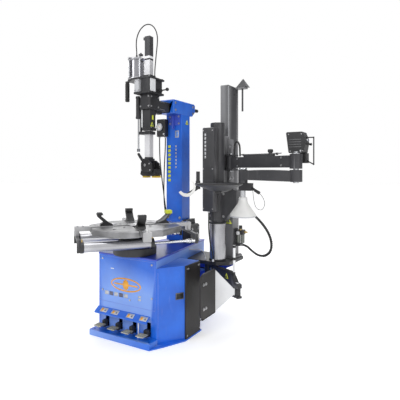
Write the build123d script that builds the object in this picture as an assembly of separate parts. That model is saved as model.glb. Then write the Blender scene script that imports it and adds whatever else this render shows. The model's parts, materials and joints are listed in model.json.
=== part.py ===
"""Tilt-back tire changer with a lever-less tool head and a right-hand help arm.

Datum: the floor point under the turntable axis. +X right, +Y towards the tower, +Z up. Millimetres.
"""
from build123d import *
import os
from math import atan2, cos, degrees, hypot, pi, radians, sin, tan

# ---------------------------------------------------------------- driving dimensions
GAP = 0.5                       # air gap between pieces that move past each other
SHEET = 3.0                     # sheet-metal thickness

CAB_FRONT = -90.0
CAB_BACK = 741.0
CAB_HALF_FRONT = 250.0
CAB_HALF_BACK = 137.0
FLARE_X = 365.0
FLARE_Y0 = 75.0
FLARE_Y1 = 262.0
FLARE_TOP = 500.0
CAB_TOP = 548.0
TOP_PLATE = 12.0
DECK = CAB_TOP + TOP_PLATE      # upper face of the top plate

FOOT_PLATE = 8.0
STEP_HEIGHT = 40.0
STEP_FRONT = -177.0
ANCHOR_X = 235.0
ANCHOR_FRONT = -150.0
ANCHOR_BACK = 500.0
ANCHOR_R = 7.0

PEDAL_X = (-170.0, -50.0, 70.0, 190.0)
PEDAL_AXLE_Y = -40.0
PEDAL_AXLE_Z = 76.0
MOTOR_X = -80.0
MOTOR_Y = 330.0
PULLEY_R = 45.0
PULLEY_Z = 215.0

HUB_R = 150.0
TABLE_TOP = 757.0
TABLE_THICK = 42.0
TABLE_FLAT = 300.0              # centre to flat of the octagonal plate
JAW_ANGLES = (50.0, 140.0, 230.0, 320.0)
SLIDE_TIP = 405.0
SLIDE_ROOT = 150.0
SLIDE_WIDTH = 54.0
JAW_RADIUS = 250.0
JAW_CLOSE = 90.0                # inward travel of a slide
CLAMP_OFFSET = 182.0            # clamping cylinder axis to table axis
CLAMP_Z = 655.0
CLAMP_R = 31.0
CLAMP_ROD_R = 9.0
CLAMP_BODY = 470.0

TOWER_HALF = 75.0
TOWER_Y0 = 490.0
TOWER_Y1 = 615.0
TOWER_TOP = 1585.0
HEAD_Y0 = 369.0
HEAD_Y1 = 698.0
HEAD_TOP = 1690.0
TILT_Y = 600.0
TILT_Z = 610.0

ARM_HALF = 38.0
ARM_Z0 = 1590.0
ARM_Z1 = 1662.0
SHAFT_Y = 161.0
SHAFT_HALF = 22.5
GRIP_X = -190.0
LOCK_Y = 190.0
LOCK_Z = 1722.0
GAUGE_OUTLETS = (-124.0, -66.0)
BLOCK_Z0 = 1693.0
BLOCK_Z1 = 1811.0
GUIDE_BOTTOM = 1430.0
LIFT_X = -105.0
LIFT_Y = 150.0
LIFT_R = 56.0
TILT_CYL_X = -85.0
TILT_CYL_Y = 146.0
PIVOT_Z = 1178.0
SHAFT_TOP = 2121.0

PLATFORM_Z = 470.0              # upper face of the help-arm bracket
LIFT_AXIS = (410.0, 465.0)      # carriage lift cylinder
MAST = (378.0, 445.0, 575.0, 755.0)
MAST_BOTTOM = 790.0
MAST_TOP = 1798.0
CARRIAGE_BOTTOM = 762.0
CARRIAGE_SHELF = 994.0
COVER_TOP = 1452.0
BEAM_ROOT = (490.0, 534.0)
ELBOW = (1049.0, 317.0)
LINK_END = (675.0, 332.0)
BEAM_Z = (1150.0, 1244.0)
LINK_Z = (1067.0, 1143.0)
LOWER_PIVOT = (505.0, 478.0)
DISC_CENTRE = (629.0, 60.0)
DISC_R = 152.0
SHOE_PIVOT = (400.0, 190.0)
SERVICE_PORT_X = 575.0          # end of the port that the service hose leaves
CONE_Z = (819.0, 956.0)

BEAD_PIVOT = (330.0, 470.0)
BEAD_END = (650.0, 300.0)
BLADE_X = 500.0
BLADE_Y = (44.0, 246.0)
BLADE_Z = (160.0, 460.0)
HEEL_Y = 512.0
BEAD_CYL_Z = 372.0

PARTS = "parts"
os.makedirs(PARTS, exist_ok=True)


# ---------------------------------------------------------------- helpers
def block(x0, x1, y0, y1, z0, z1, r=0.0):
    """A box between two corners, with its vertical edges rounded by r."""
    solid = Pos((x0 + x1) / 2, (y0 + y1) / 2, (z0 + z1) / 2) * Box(x1 - x0, y1 - y0, z1 - z0)
    return fillet(solid.edges().filter_by(Axis.Z), r) if r else solid


def post(x, y, z0, z1, r, hole=0.0):
    """A vertical cylinder, bored if hole is given."""
    solid = Pos(x, y, (z0 + z1) / 2) * Cylinder(r, z1 - z0)
    return solid - Pos(x, y, (z0 + z1) / 2) * Cylinder(hole, z1 - z0 + 2) if hole else solid


def bar(p, q, r, hole=0.0):
    """A round bar or tube from point p to point q."""
    start = Vector(*p)
    run = Vector(*q) - start
    plane = Plane(origin=start, z_dir=run)
    solid = extrude(plane * Circle(r), run.length)
    return solid - extrude(plane * Circle(hole), run.length) if hole else solid


def prism(points, z0, z1):
    """A vertical prism on a plan outline."""
    return Pos(0, 0, z0) * extrude(make_face(Polyline(*points, close=True)), z1 - z0)


def profile(plane, points, thickness):
    """A plate on an outline drawn in a plane, thickened both ways."""
    return extrude(plane * make_face(Polyline(*points, close=True)), thickness / 2, both=True)


def along(p, q, width, z0, z1, start=0.0, end=0.0, r=0.0):
    """A straight bar in plan from p to q, lengthened by start and end at its two ends."""
    length = hypot(q[0] - p[0], q[1] - p[1])
    turn = degrees(atan2(q[1] - p[1], q[0] - p[0]))
    straight = block(-start, length + end, -width / 2, width / 2, z0, z1, r)
    return Pos(p[0], p[1], 0) * Rot(0, 0, turn) * straight


def solids_of(shapes):
    """Every separate solid in a list of shapes."""
    found = []
    for shape in shapes:
        found.extend(shape.solids())
    return found


def keep(name, *shapes):
    """Write one node."""
    solids = solids_of(shapes)
    export_step(solids[0] if len(solids) == 1 else Compound(children=solids), f"{PARTS}/{name}.step")


def hose(points, radius):
    """A flexible hose: straight runs joined by arcs as large as the runs allow."""
    route = [Vector(*p) for p in points]
    radii = []
    for a, b, c in zip(route, route[1:], route[2:]):
        turn = radians((b - a).get_angle(c - b))
        radii.append(0.45 * min((b - a).length, (c - b).length) / tan(turn / 2))
    path = FilletPolyline(*route, radius=radii)
    start = Plane(origin=path @ 0, z_dir=path % 0)
    tube = sweep(start * Circle(radius), path=path)
    expected = pi * radius * radius * path.length
    print(f"hose length {path.length:.0f} volume ratio {tube.volume / expected:.3f} "
          f"least radius {min(radii):.0f} for diameter {2 * radius:.0f}")
    return tube


# ---------------------------------------------------------------- cabinet
def cabinet_outline():
    """The tapered plan of the cabinet, under the top plate."""
    return [(-CAB_HALF_FRONT, CAB_FRONT), (CAB_HALF_FRONT, CAB_FRONT),
            (CAB_HALF_BACK, CAB_BACK), (-CAB_HALF_BACK, CAB_BACK)]


def flare_outline():
    """The plan of the bead-breaker side, which stands out to the right."""
    return [(CAB_HALF_FRONT - 1, CAB_FRONT), (CAB_HALF_FRONT, CAB_FRONT), (FLARE_X, FLARE_Y0),
            (FLARE_X, FLARE_Y1), (200.0, FLARE_Y1), (200.0, FLARE_Y0)]


def make_foot():
    """Floor plate with anchor holes, and the raised step that the pedals stand over."""
    outline = [(-258, STEP_FRONT), (258, STEP_FRONT), (312, -80), (380, 60), (380, 275), (258, 300),
               (258, 530), (160, 755), (-160, 755), (-258, 530)]
    plate = prism(outline, 0, FOOT_PLATE)
    step = block(-258, 258, STEP_FRONT, CAB_FRONT - 1, FOOT_PLATE, STEP_HEIGHT)
    step -= block(-254, 254, STEP_FRONT + 4, CAB_FRONT + 5, FOOT_PLATE, STEP_HEIGHT - 4)
    foot = plate + step
    for x in (-ANCHOR_X, ANCHOR_X):
        for y in (ANCHOR_FRONT, ANCHOR_BACK):
            foot -= post(x, y, -1, STEP_HEIGHT + 1, ANCHOR_R)
    return foot


def make_cabinet():
    """Sheet-metal shell: pedal slots in front, a rod hole on the right."""
    plan = make_face(Polyline(*cabinet_outline(), close=True))
    flare = make_face(Polyline(*flare_outline(), close=True))
    both = plan + flare
    z0 = FOOT_PLATE
    outer = Pos(0, 0, z0) * extrude(both, FLARE_TOP - z0) + Pos(0, 0, z0) * extrude(plan, CAB_TOP - z0)
    inner = Pos(0, 0, z0) * extrude(offset(both, -SHEET), FLARE_TOP - z0 - SHEET)
    inner += Pos(0, 0, z0) * extrude(offset(plan, -SHEET), CAB_TOP - z0)
    shell = outer - inner
    for x in PEDAL_X:
        shell -= block(x - 16, x + 16, CAB_FRONT - 5, CAB_FRONT + 12, 48, 140)
    shell -= bar((100, HEEL_Y, BEAD_CYL_Z), (250, HEEL_Y, BEAD_CYL_Z), 20)
    return shell


def make_hood():
    """Sloping shelf over the pedals."""
    side = Plane.YZ.offset(-257.0)
    shelf = make_face(side * Polyline((CAB_FRONT, 180), (-132, 150), (-132, 140), (-127, 140),
                                      (-127, 146), (CAB_FRONT, 174), close=True))
    return extrude(shelf, 457.0)


def make_pedal(x):
    """Rocking lever with its axle boss and boot, and the tread plate."""
    lever = block(x - 8, x + 8, -178, PEDAL_AXLE_Y, PEDAL_AXLE_Z - 8, PEDAL_AXLE_Z + 4)
    boss = bar((x - 13, PEDAL_AXLE_Y, PEDAL_AXLE_Z), (x + 13, PEDAL_AXLE_Y, PEDAL_AXLE_Z), 15, 6)
    boot = block(x - 13, x + 13, -132, -99, PEDAL_AXLE_Z - 20, PEDAL_AXLE_Z + 26, 5)
    lever -= bar((x - 13, PEDAL_AXLE_Y, PEDAL_AXLE_Z), (x + 13, PEDAL_AXLE_Y, PEDAL_AXLE_Z), 14)
    tread = block(x - 31, x + 31, -195, -140, PEDAL_AXLE_Z + 4, PEDAL_AXLE_Z + 9, 4)
    return lever + boss + boot, tread


def make_drive():
    """Motor on its feet, the two pulleys and the belt round them."""
    motor = post(MOTOR_X, MOTOR_Y, 20, 195, 75)
    feet = block(MOTOR_X - 80, MOTOR_X + 80, MOTOR_Y - 70, MOTOR_Y + 70, FOOT_PLATE, 20)
    shaft = post(MOTOR_X, MOTOR_Y, 195, PULLEY_Z, 10)
    pulleys = [post(x, y, PULLEY_Z, PULLEY_Z + 28, PULLEY_R) for x, y in ((MOTOR_X, MOTOR_Y), (0, 0))]
    spacing = hypot(MOTOR_X, MOTOR_Y)
    turn = degrees(atan2(MOTOR_Y, MOTOR_X))
    loop = SlotCenterToCenter(spacing, 2 * PULLEY_R + 8) - SlotCenterToCenter(spacing, 2 * PULLEY_R)
    belt = Pos(MOTOR_X / 2, MOTOR_Y / 2, PULLEY_Z + 4) * Rot(0, 0, turn) * extrude(loop, 20)
    return motor + feet + shaft, *pulleys, belt


def make_gearbox():
    """Worm gearbox hung from the top plate, with its input shaft down to the pulley."""
    case = post(0, 0, 380, CAB_TOP, 82) + block(40, 190, -60, 60, 410, 500, 12)
    return case + post(0, 0, PULLEY_Z + 28, 380, 14)


def make_valves():
    """Valve bank behind the pedals."""
    rail = block(-215, 225, 20, 40, 60, 72)
    valves = [block(x - 20, x + 20, 8, 56, 72, 150, 4) for x in PEDAL_X]
    feet = [block(x - 10, x + 10, 20, 40, FOOT_PLATE, 60) for x in PEDAL_X]
    return rail.fuse(*valves, *feet)


def make_pedal_axles():
    """One axle pin through each pedal boss, held in two lugs that stand on the floor plate."""
    pins = []
    for x in PEDAL_X:
        pin = bar((x - 24, PEDAL_AXLE_Y, PEDAL_AXLE_Z), (x + 24, PEDAL_AXLE_Y, PEDAL_AXLE_Z), 5.95)
        lugs = [block(cx - 3, cx + 3, PEDAL_AXLE_Y - 12, PEDAL_AXLE_Y + 12, FOOT_PLATE, PEDAL_AXLE_Z + 12)
                for cx in (x - 20, x + 20)]
        pins.append(pin.fuse(*lugs))
    return pins


# ---------------------------------------------------------------- turntable
def radial(angle, shape):
    """Turn a shape drawn along +X to a turntable direction."""
    return Rot(0, 0, angle) * shape


def make_spindle():
    """Main spindle with the boss that carries the star plate."""
    z_plate = TABLE_TOP - TABLE_THICK
    return post(0, 0, DECK + 82, z_plate, 60) + post(0, 0, z_plate - 20, z_plate, 120)


def make_hub_cover():
    """Stepped dark cover between the top plate and the spindle."""
    return post(0, 0, DECK, DECK + 55, HUB_R) + post(0, 0, DECK + 55, DECK + 82 - GAP, HUB_R - 30)


def make_star():
    """Plate with a straight slot for each slide."""
    outline = RegularPolygon(TABLE_FLAT, 8, major_radius=False, rotation=5 + 22.5)
    plate = Pos(0, 0, TABLE_TOP - TABLE_THICK) * extrude(outline, TABLE_THICK)
    plate = chamfer(plate.edges().group_by(Axis.Z)[-1], 6)
    slot = block(SLIDE_ROOT - 110, 600, -SLIDE_WIDTH / 2 - GAP, SLIDE_WIDTH / 2 + GAP,
                 TABLE_TOP - 22, TABLE_TOP + 10)
    notch = block(SLIDE_TIP - 30 - JAW_CLOSE - 3, 600, -SLIDE_WIDTH / 2 - GAP, SLIDE_WIDTH / 2 + GAP,
                  TABLE_TOP - TABLE_THICK - 5, TABLE_TOP)
    for angle in JAW_ANGLES:
        plate -= radial(angle, slot)
        plate -= radial(angle, notch)
    return plate


def make_slide(angle):
    """Flat slide in its slot; its outer end drops to the clamping-cylinder level."""
    half = SLIDE_WIDTH / 2
    slide = block(SLIDE_ROOT, SLIDE_TIP, -half, half, TABLE_TOP - 22 + GAP, TABLE_TOP + 6)
    nose = block(SLIDE_TIP - 30, SLIDE_TIP, -half, half, TABLE_TOP - 52, TABLE_TOP + 6, 6)
    return radial(angle, slide + nose)


def make_yoke(angle, end):
    """Cross bar under a slide's outer end, which carries the two clamping cylinders' eyes."""
    cross = block(SLIDE_TIP - 26, SLIDE_TIP - 6, -CLAMP_OFFSET - 12, CLAMP_OFFSET + 12,
                  TABLE_TOP - 70, TABLE_TOP - 52)
    arms = []
    for side in (-1, 1):
        y = side * CLAMP_OFFSET
        arms.append(block(SLIDE_TIP - 26, SLIDE_TIP - 6, y - 12, y + 12, CLAMP_Z - end, TABLE_TOP - 52))
    return radial(angle, cross.fuse(*arms))


def make_jaw(angle):
    """Stepped clamping jaw that leans outward, on a foot fixed to its slide."""
    r = JAW_RADIUS
    z = TABLE_TOP + 6
    outline = [(r - 98, z), (r - 10, z), (r - 16, z + 14), (r - 34, z + 24), (r + 6, z + 62),
               (r + 12, z + 80), (r + 6, z + 90), (r - 24, z + 90), (r - 30, z + 80), (r - 16, z + 68),
               (r - 62, z + 28), (r - 92, z + 12)]
    return radial(angle, profile(Plane.XZ, outline, 52))


def make_clamp_cylinders():
    """Two barrels with end caps, fixed to the yoke of the third slide."""
    turn = JAW_ANGLES[0]
    rear = -SLIDE_TIP + 26
    front = rear + CLAMP_BODY
    barrels = []
    for side in (-1, 1):
        y = side * CLAMP_OFFSET
        barrel = bar((rear, y, CLAMP_Z), (front, y, CLAMP_Z), CLAMP_R)
        for x in (rear, front - 22):
            barrel += bar((x, y, CLAMP_Z), (x + 22, y, CLAMP_Z), CLAMP_R + 5)
        barrel -= bar((rear + 22, y, CLAMP_Z), (front - 22, y, CLAMP_Z), CLAMP_R - 3)
        barrel -= bar((front - 30, y, CLAMP_Z), (front + 5, y, CLAMP_Z), CLAMP_ROD_R + GAP)
        barrels.append(radial(turn, barrel))
    return barrels


def make_clamp_rods():
    """Pistons, rods and rod eyes, fixed to the yoke of the first slide."""
    rear = -SLIDE_TIP + 26
    rods = []
    for side in (-1, 1):
        y = side * CLAMP_OFFSET
        rod = bar((rear + 300, y, CLAMP_Z), (SLIDE_TIP - 26, y, CLAMP_Z), CLAMP_ROD_R)
        rod += bar((rear + 285, y, CLAMP_Z), (rear + 300, y, CLAMP_Z), CLAMP_R - 3 - GAP)
        rod += bar((SLIDE_TIP - 52, y, CLAMP_Z), (SLIDE_TIP - 26, y, CLAMP_Z), CLAMP_ROD_R + 5)
        rods.append(radial(JAW_ANGLES[0], rod))
    return rods


# ---------------------------------------------------------------- tower
def make_tower_bracket():
    """Cheeks on the top plate, the right one a deep casting, and the pin the tower tilts on."""
    outer = TOWER_HALF + 2
    left = block(-outer - 16, -outer, TILT_Y - 45, TILT_Y + 40, DECK, TILT_Z + 40, 0)
    front = [(outer, DECK), (outer + 73, DECK), (outer + 73, 694), (outer + 60, 706), (outer + 34, 706),
             (outer + 30, 744), (outer, 744)]
    right = profile(Plane.XZ.offset(-TOWER_Y0 - 81), front, 138)
    pin = bar((-outer - 22, TILT_Y, TILT_Z), (outer + 79, TILT_Y, TILT_Z), 12)
    return left - pin, right - pin, pin


def make_column():
    """Box-section column, open at its foot, with pin holes."""
    column = block(-TOWER_HALF, TOWER_HALF, TOWER_Y0, TOWER_Y1, DECK + 16, TOWER_TOP, 6)
    column -= block(-TOWER_HALF + 5, TOWER_HALF - 5, TOWER_Y0 + 5, TOWER_Y1 - 5, DECK, TOWER_TOP - 5)
    return column - bar((-200, TILT_Y, TILT_Z), (200, TILT_Y, TILT_Z), 12.05)


def make_tower_head():
    """Head box that the horizontal arm slides through, with its chamfered rear and knob."""
    side = Plane.YZ.offset(-TOWER_HALF)
    outline = make_face(side * Polyline((HEAD_Y0, TOWER_TOP), (HEAD_Y1 - 45, TOWER_TOP),
                                        (HEAD_Y1, TOWER_TOP + 40), (HEAD_Y1, HEAD_TOP - 12),
                                        (HEAD_Y1 - 14, HEAD_TOP),
                                        (HEAD_Y0 + 10, HEAD_TOP), (HEAD_Y0, HEAD_TOP - 12), close=True))
    box = extrude(outline, 2 * TOWER_HALF)
    reach = ARM_HALF + GAP
    box -= block(-reach, reach, HEAD_Y0 - 1, HEAD_Y1 - 6, ARM_Z0 - GAP, ARM_Z1 + GAP)
    knob = bar((62, HEAD_Y1, ARM_Z1 - 18), (62, HEAD_Y1 + 28, ARM_Z1 - 18), 8)
    knob += bar((62, HEAD_Y1 + 28, ARM_Z1 - 18), (62, HEAD_Y1 + 58, ARM_Z1 - 18), 14)
    return box, fillet(knob.edges().filter_by(GeomType.CIRCLE).group_by(Axis.Y)[-1], 6)


def make_gauge_box():
    """Box on the tower's left side that carries the pressure dial."""
    box = block(-TOWER_HALF - 62, -TOWER_HALF + 22, TOWER_Y0 - 50, TOWER_Y0, 1412, 1552, 8)
    dial_x = -TOWER_HALF - 28
    dial = bar((dial_x, TOWER_Y0 - 58, 1488), (dial_x, TOWER_Y0 - 50, 1488), 30)
    outlets = [post(x, TOWER_Y0 - 25, 1400, 1412, 8) for x in GAUGE_OUTLETS]
    return box, dial, *outlets


# ---------------------------------------------------------------- tool head
def shaft_passage(z0, z1):
    """The square passage for the tool shaft, with its running gap."""
    half = SHAFT_HALF + GAP
    return block(-half, half, SHAFT_Y - half, SHAFT_Y + half, z0, z1)


def make_horizontal_arm():
    """Square bar through the tower head, with the lower rib in front of the tower."""
    arm = block(-ARM_HALF, ARM_HALF, SHAFT_Y + 64, TOWER_Y1 - 15, ARM_Z0, ARM_Z1)
    rib = block(-20, 20, SHAFT_Y + 64, HEAD_Y0 - 70, ARM_Z0 - 26, ARM_Z0)
    return arm + rib


def make_carrier():
    """Black casting that holds the guide housing at the arm's front end."""
    carrier = block(-48, 48, SHAFT_Y - 52, SHAFT_Y + 64, ARM_Z0 - 6, BLOCK_Z0)
    return fillet(carrier.edges().filter_by(Axis.Z).group_by(Axis.Y)[0], 12) - shaft_passage(0, 3000)


def make_head_block():
    """Top and bottom plates with the lock housing between them, and the side lock cylinder."""
    y0 = SHAFT_Y - 90
    y1 = SHAFT_Y + 90
    bottom = block(-75, 75, y0, y1, BLOCK_Z0, BLOCK_Z0 + 13, 10) - shaft_passage(0, 3000)
    top = block(-165, 75, y0, y1, BLOCK_Z1 - 13, BLOCK_Z1)
    top -= prism([(-170, y0 - 1), (-75, y0 - 1), (-165, y0 + 45), (-170, y0 + 45)], 0, 3000)
    top -= prism([(-170, y1 + 1), (-75, y1 + 1), (-165, y1 - 45), (-170, y1 - 45)], 0, 3000)
    top -= shaft_passage(0, 3000)
    z0 = BLOCK_Z0 + 13
    z1 = BLOCK_Z1 - 13
    core = prism([(-20, y0 + 22), (8, y0 + 6), (60, y0 + 6), (60, y1 - 10), (-60, y1 - 10), (-60, y0 + 72),
                  (-20, y0 + 72)], z0, z1) - shaft_passage(0, 3000)
    lock = prism([(-70, y0 + 8), (-30, y0 + 4), (-21, y0 + 24), (-21, y0 + 71), (-70, y0 + 71)], z0, z1)
    lock -= shaft_passage(0, 3000)
    side = block(61, 69, y0 + 20, y0 + 78, z0, z1)
    return core, bottom, top, lock, side


def make_lift_cylinder():
    """Pneumatic lift cylinder on the top plate, with caps and four tie rods."""
    barrel = post(LIFT_X, LIFT_Y, BLOCK_Z1 + 14, 1951, LIFT_R)
    caps = [post(LIFT_X, LIFT_Y, z0, z1, LIFT_R + 3) for z0, z1 in ((BLOCK_Z1, BLOCK_Z1 + 14), (1951, 1967))]
    nut = post(LIFT_X, LIFT_Y, 1967, 1977, 10)
    return barrel, *caps, nut


def make_shaft_guide():
    """Square guide housing under the carrier, its end ring, and the collar above the block."""
    half = SHAFT_HALF + 12
    x0 = -half
    lower = block(x0, half, SHAFT_Y - half, SHAFT_Y + half, GUIDE_BOTTOM + 20, ARM_Z0 - 6, 3)
    ring = block(x0 - 5, half + 5, SHAFT_Y - half - 5, SHAFT_Y + half + 5, GUIDE_BOTTOM, GUIDE_BOTTOM + 20, 5)
    collar = block(x0, half, SHAFT_Y - half, SHAFT_Y + half, BLOCK_Z1, BLOCK_Z1 + 24, 4)
    guide = (lower + ring) - shaft_passage(0, 3000)
    strip = block(x0 - 9, x0, SHAFT_Y - half, SHAFT_Y - half + 14, GUIDE_BOTTOM + 24, ARM_Z0 - 8)
    return guide, collar - shaft_passage(0, 3000), strip


def make_side_grip():
    """Vertical pull grip on a short bracket at the left of the head."""
    arm = block(GRIP_X - 12, -165, LIFT_Y - 16, LIFT_Y + 4, BLOCK_Z1 - 12, BLOCK_Z1 - 2)
    grip = post(GRIP_X, LIFT_Y - 6, BLOCK_Z1 - 155, BLOCK_Z1 - 12, 15)
    return arm, fillet(grip.edges().filter_by(GeomType.CIRCLE), 5)


def make_lock_lever():
    """Ball-ended lever that turns on the right side of the head."""
    hub = bar((70, LOCK_Y, LOCK_Z), (92, LOCK_Y, LOCK_Z), 13)
    stem = bar((84, LOCK_Y, LOCK_Z), (100, LOCK_Y + 54, LOCK_Z + 16), 5)
    ball = Pos(101, LOCK_Y + 60, LOCK_Z + 18) * Sphere(13)
    return hub + stem + ball


def make_tool_shaft():
    """Square shaft with a clevis at its foot and a stop flag on top."""
    half = SHAFT_HALF
    shaft = block(-half, half, SHAFT_Y - half, SHAFT_Y + half, PIVOT_Z + 48, SHAFT_TOP)
    crown = block(-24, 24, SHAFT_Y - 38, SHAFT_Y + 38, PIVOT_Z + 28, PIVOT_Z + 48)
    ears = [block(-24, 24, SHAFT_Y + y - 4, SHAFT_Y + y + 4, PIVOT_Z - 20, PIVOT_Z + 28) for y in (-34, 34)]
    clevis = crown.fuse(*ears)
    pin = bar((0, SHAFT_Y - 42, PIVOT_Z), (0, SHAFT_Y + 42, PIVOT_Z), 8)
    flag = block(-half - 20, -half, SHAFT_Y - 12, SHAFT_Y + 2, SHAFT_TOP - 22, SHAFT_TOP - 2)
    return shaft + clevis - pin, pin, flag


def make_tilt_cylinder():
    """Head-tilting cylinder on a strap that is clamped to the shaft below the guide."""
    x, y = TILT_CYL_X, TILT_CYL_Y
    barrel = post(x, y, 1520, 1688, 19) - post(x, y, 1535, 1675, 15) - post(x, y, 1500, 1540, 6 + GAP)
    strap = block(x + 19, x + 27, y - 9, y + 9, GUIDE_BOTTOM - 28, 1600)
    clamp = block(x + 19, 34, SHAFT_Y - 34, SHAFT_Y + 34, GUIDE_BOTTOM - 28, GUIDE_BOTTOM - 6)
    clamp -= block(-SHAFT_HALF, SHAFT_HALF, SHAFT_Y - SHAFT_HALF, SHAFT_Y + SHAFT_HALF, 0, 3000)
    return barrel, strap + clamp


def make_tilt_rod():
    """Piston rod of the head-tilting cylinder, with its lower fork."""
    x, y = TILT_CYL_X, TILT_CYL_Y
    rod = post(x, y, 1300, 1600, 6) + post(x, y, 1600, 1612, 15 - GAP)
    return rod + block(x - 9, x + 9, y - 9, y + 9, 1276, 1300, 3)


def make_mount_head():
    """Duck-head casting on its tongue, and the lever that tilts it."""
    tongue = block(-22, 22, SHAFT_Y - 29, SHAFT_Y + 29, 1130, PIVOT_Z + 14)
    side = [(-42, 1138), (-48, 1112), (-30, 1098), (70, 1098), (88, 1108), (76, 1146), (58, 1150), (40, 1138)]
    casting = profile(Plane.XZ.offset(-SHAFT_Y), side, 84)
    casting -= Pos(20, SHAFT_Y - 140, 1100) * Cylinder(112, 300)
    lever_side = [(-14, 1181), (-14, 1156), (TILT_CYL_X + 4, 1240), (TILT_CYL_X - 10, 1262),
                  (TILT_CYL_X + 4, 1268)]
    lever = profile(Plane.XZ.offset(-TILT_CYL_Y), lever_side, 12)
    cheek = [(-34, 1126), (-36, 1192), (-24, 1212), (30, 1212), (58, 1192), (68, 1144), (60, 1126)]
    cheeks = [profile(Plane.XZ.offset(-SHAFT_Y - y), cheek, 7) for y in (-47, 47)]
    head = (tongue + casting + lever).fuse(*cheeks)
    return head - bar((0, SHAFT_Y - 60, PIVOT_Z), (0, SHAFT_Y + 60, PIVOT_Z), 8.05)


def make_inserts():
    """Plastic inserts under the two ends of the mount head."""
    left = block(-46, -12, SHAFT_Y - 20, SHAFT_Y + 38, 1086, 1098, 5)
    right = block(38, 84, SHAFT_Y - 20, SHAFT_Y + 38, 1086, 1098, 5)
    return left, right


# ---------------------------------------------------------------- help arm
def cabinet_edge(y):
    """X of the cabinet's right wall at y."""
    return CAB_HALF_FRONT - (CAB_HALF_FRONT - CAB_HALF_BACK) * (y - CAB_FRONT) / (CAB_BACK - CAB_FRONT)


def make_side_bracket():
    """Platform from the cabinet's right wall, its gussets, and the lower lug of the bead-breaker pivot."""
    deck = [(cabinet_edge(400), 400), (440, 385), (520, 440), (520, 690), (cabinet_edge(690), 690)]
    platform = prism(deck, PLATFORM_Z - 26, PLATFORM_Z)
    lug = prism([(cabinet_edge(420), 420), (362, 430), (362, 500), (cabinet_edge(495), 495)], 296, 312)
    web = [(cabinet_edge(610) + 1, 250), (cabinet_edge(610) + 1, PLATFORM_Z - 26), (500, PLATFORM_Z - 26),
           (480, PLATFORM_Z - 60)]
    gusset = profile(Plane.XZ.offset(-610), web, 8)
    pin = post(*BEAD_PIVOT, 290, PLATFORM_Z - 26, 13.95)
    return platform, lug - pin, gusset, pin


def make_post():
    """Square lower post with a base flange."""
    return block(415, 482, 576, 683, PLATFORM_Z + 14, MAST_BOTTOM) + block(400, 510, 556, 686, PLATFORM_Z,
                                                                            PLATFORM_Z + 14)


def make_mast():
    """Mast section, open at the rear, with its end cap, hook bracket and hanging rod."""
    x0, x1, y0, y1 = MAST
    mast = block(x0, x1, y0, y1, MAST_BOTTOM, MAST_TOP)
    mast -= block(x0 + 8, x1 - 8, y0 + 8, y1 + 5, MAST_BOTTOM - 5, MAST_TOP - 6)
    seat = block(x0, x1 + 37, y0, y0 + 108, MAST_BOTTOM - 0.5, MAST_BOTTOM)
    bracket = block(x1 - 10, x1 + 84, y1 - 60, y1, MAST_TOP - 12, MAST_TOP)
    centre = (x1 + 58, y1 - 30)
    apex = loft([Pos(*centre, MAST_TOP) * Rectangle(88, 70), Pos(*centre, MAST_TOP + 66) * Rectangle(4, 4)])
    hanger = post(centre[0] - 6, centre[1], MAST_TOP - 190, MAST_TOP - 12, 7)
    return mast + bracket, apex, hanger, seat


def make_help_cylinder():
    """Large vertical lift cylinder under the carriage."""
    x, y = LIFT_AXIS
    barrel = post(x, y, PLATFORM_Z, CARRIAGE_BOTTOM - 4, 60)
    barrel -= post(x, y, PLATFORM_Z + 12, CARRIAGE_BOTTOM - 16, 56)
    return barrel - post(x, y, CARRIAGE_BOTTOM - 30, CARRIAGE_BOTTOM, 18 + GAP)


def make_carriage():
    """Carriage: round housing, stepped lower body, mast clamps, beam lugs, arm pivot and lift rod."""
    x, y = LIFT_AXIS
    housing = post(x, y, CARRIAGE_BOTTOM, COVER_TOP + 38, 54)
    outline = [(345, CARRIAGE_BOTTOM), (475, CARRIAGE_BOTTOM), (575, 890), (575, CARRIAGE_SHELF),
               (345, CARRIAGE_SHELF)]
    body = profile(Plane.XZ.offset(-478), outline, 74)
    saddle = block(368, 448, 508, MAST[2] - 1, 880, 1400)
    cheeks = [block(cx, cx + 9, 560, 650, 900, 1380) for cx in (MAST[0] - 10, MAST[1] + 1)]
    lugs = [along((440, 545), BEAM_ROOT, 76, z, z + 12, 0, 38, 0) for z in (BEAM_Z[0] - 13, BEAM_Z[1] + 1)]
    pivot = post(*LOWER_PIVOT, CARRIAGE_SHELF, 1020, 14)
    port = bar((530, 500, 850), (SERVICE_PORT_X - 0.5, 500, 850), 12)
    carriage = housing.fuse(body, saddle, *cheeks, *lugs, pivot, port)
    beam_pin = post(*BEAM_ROOT, BEAM_Z[0] - 20, BEAM_Z[1] + 22, 15.95)
    rod = post(x, y, PLATFORM_Z + 20, CARRIAGE_BOTTOM, 18)
    return carriage - beam_pin, beam_pin, rod


def make_cover():
    """Rounded front cover of the carriage."""
    cover = block(340, 440, 350, 440, 840, COVER_TOP, 14)
    cover = fillet(cover.edges().group_by(Axis.Z)[-1], 10)
    return cover - post(*LIFT_AXIS, 0, 3000, 54)


def make_beam():
    """Upper beam between the carriage and the elbow, with its elbow pin and the upper lock bar."""
    z0, z1 = BEAM_Z
    beam = along(BEAM_ROOT, ELBOW, 58, z0 + 8, z1 - 8)
    bosses = [post(*BEAM_ROOT, z0, z1, 37), post(*ELBOW, z0, z1, 40)]
    beam = beam.fuse(*bosses) - post(*BEAM_ROOT, 0, 3000, 16)
    pin = post(*ELBOW, LINK_Z[0] - 8, z1 + 16, 17.95)
    lock = along((620, 484), (880, 383), 22, z1 - 8, z1 + 6)
    knob = post(850, 395, z1 + 6, z1 + 32, 13)
    return beam - post(*ELBOW, 0, 3000, 17.95), pin, lock, knob


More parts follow.
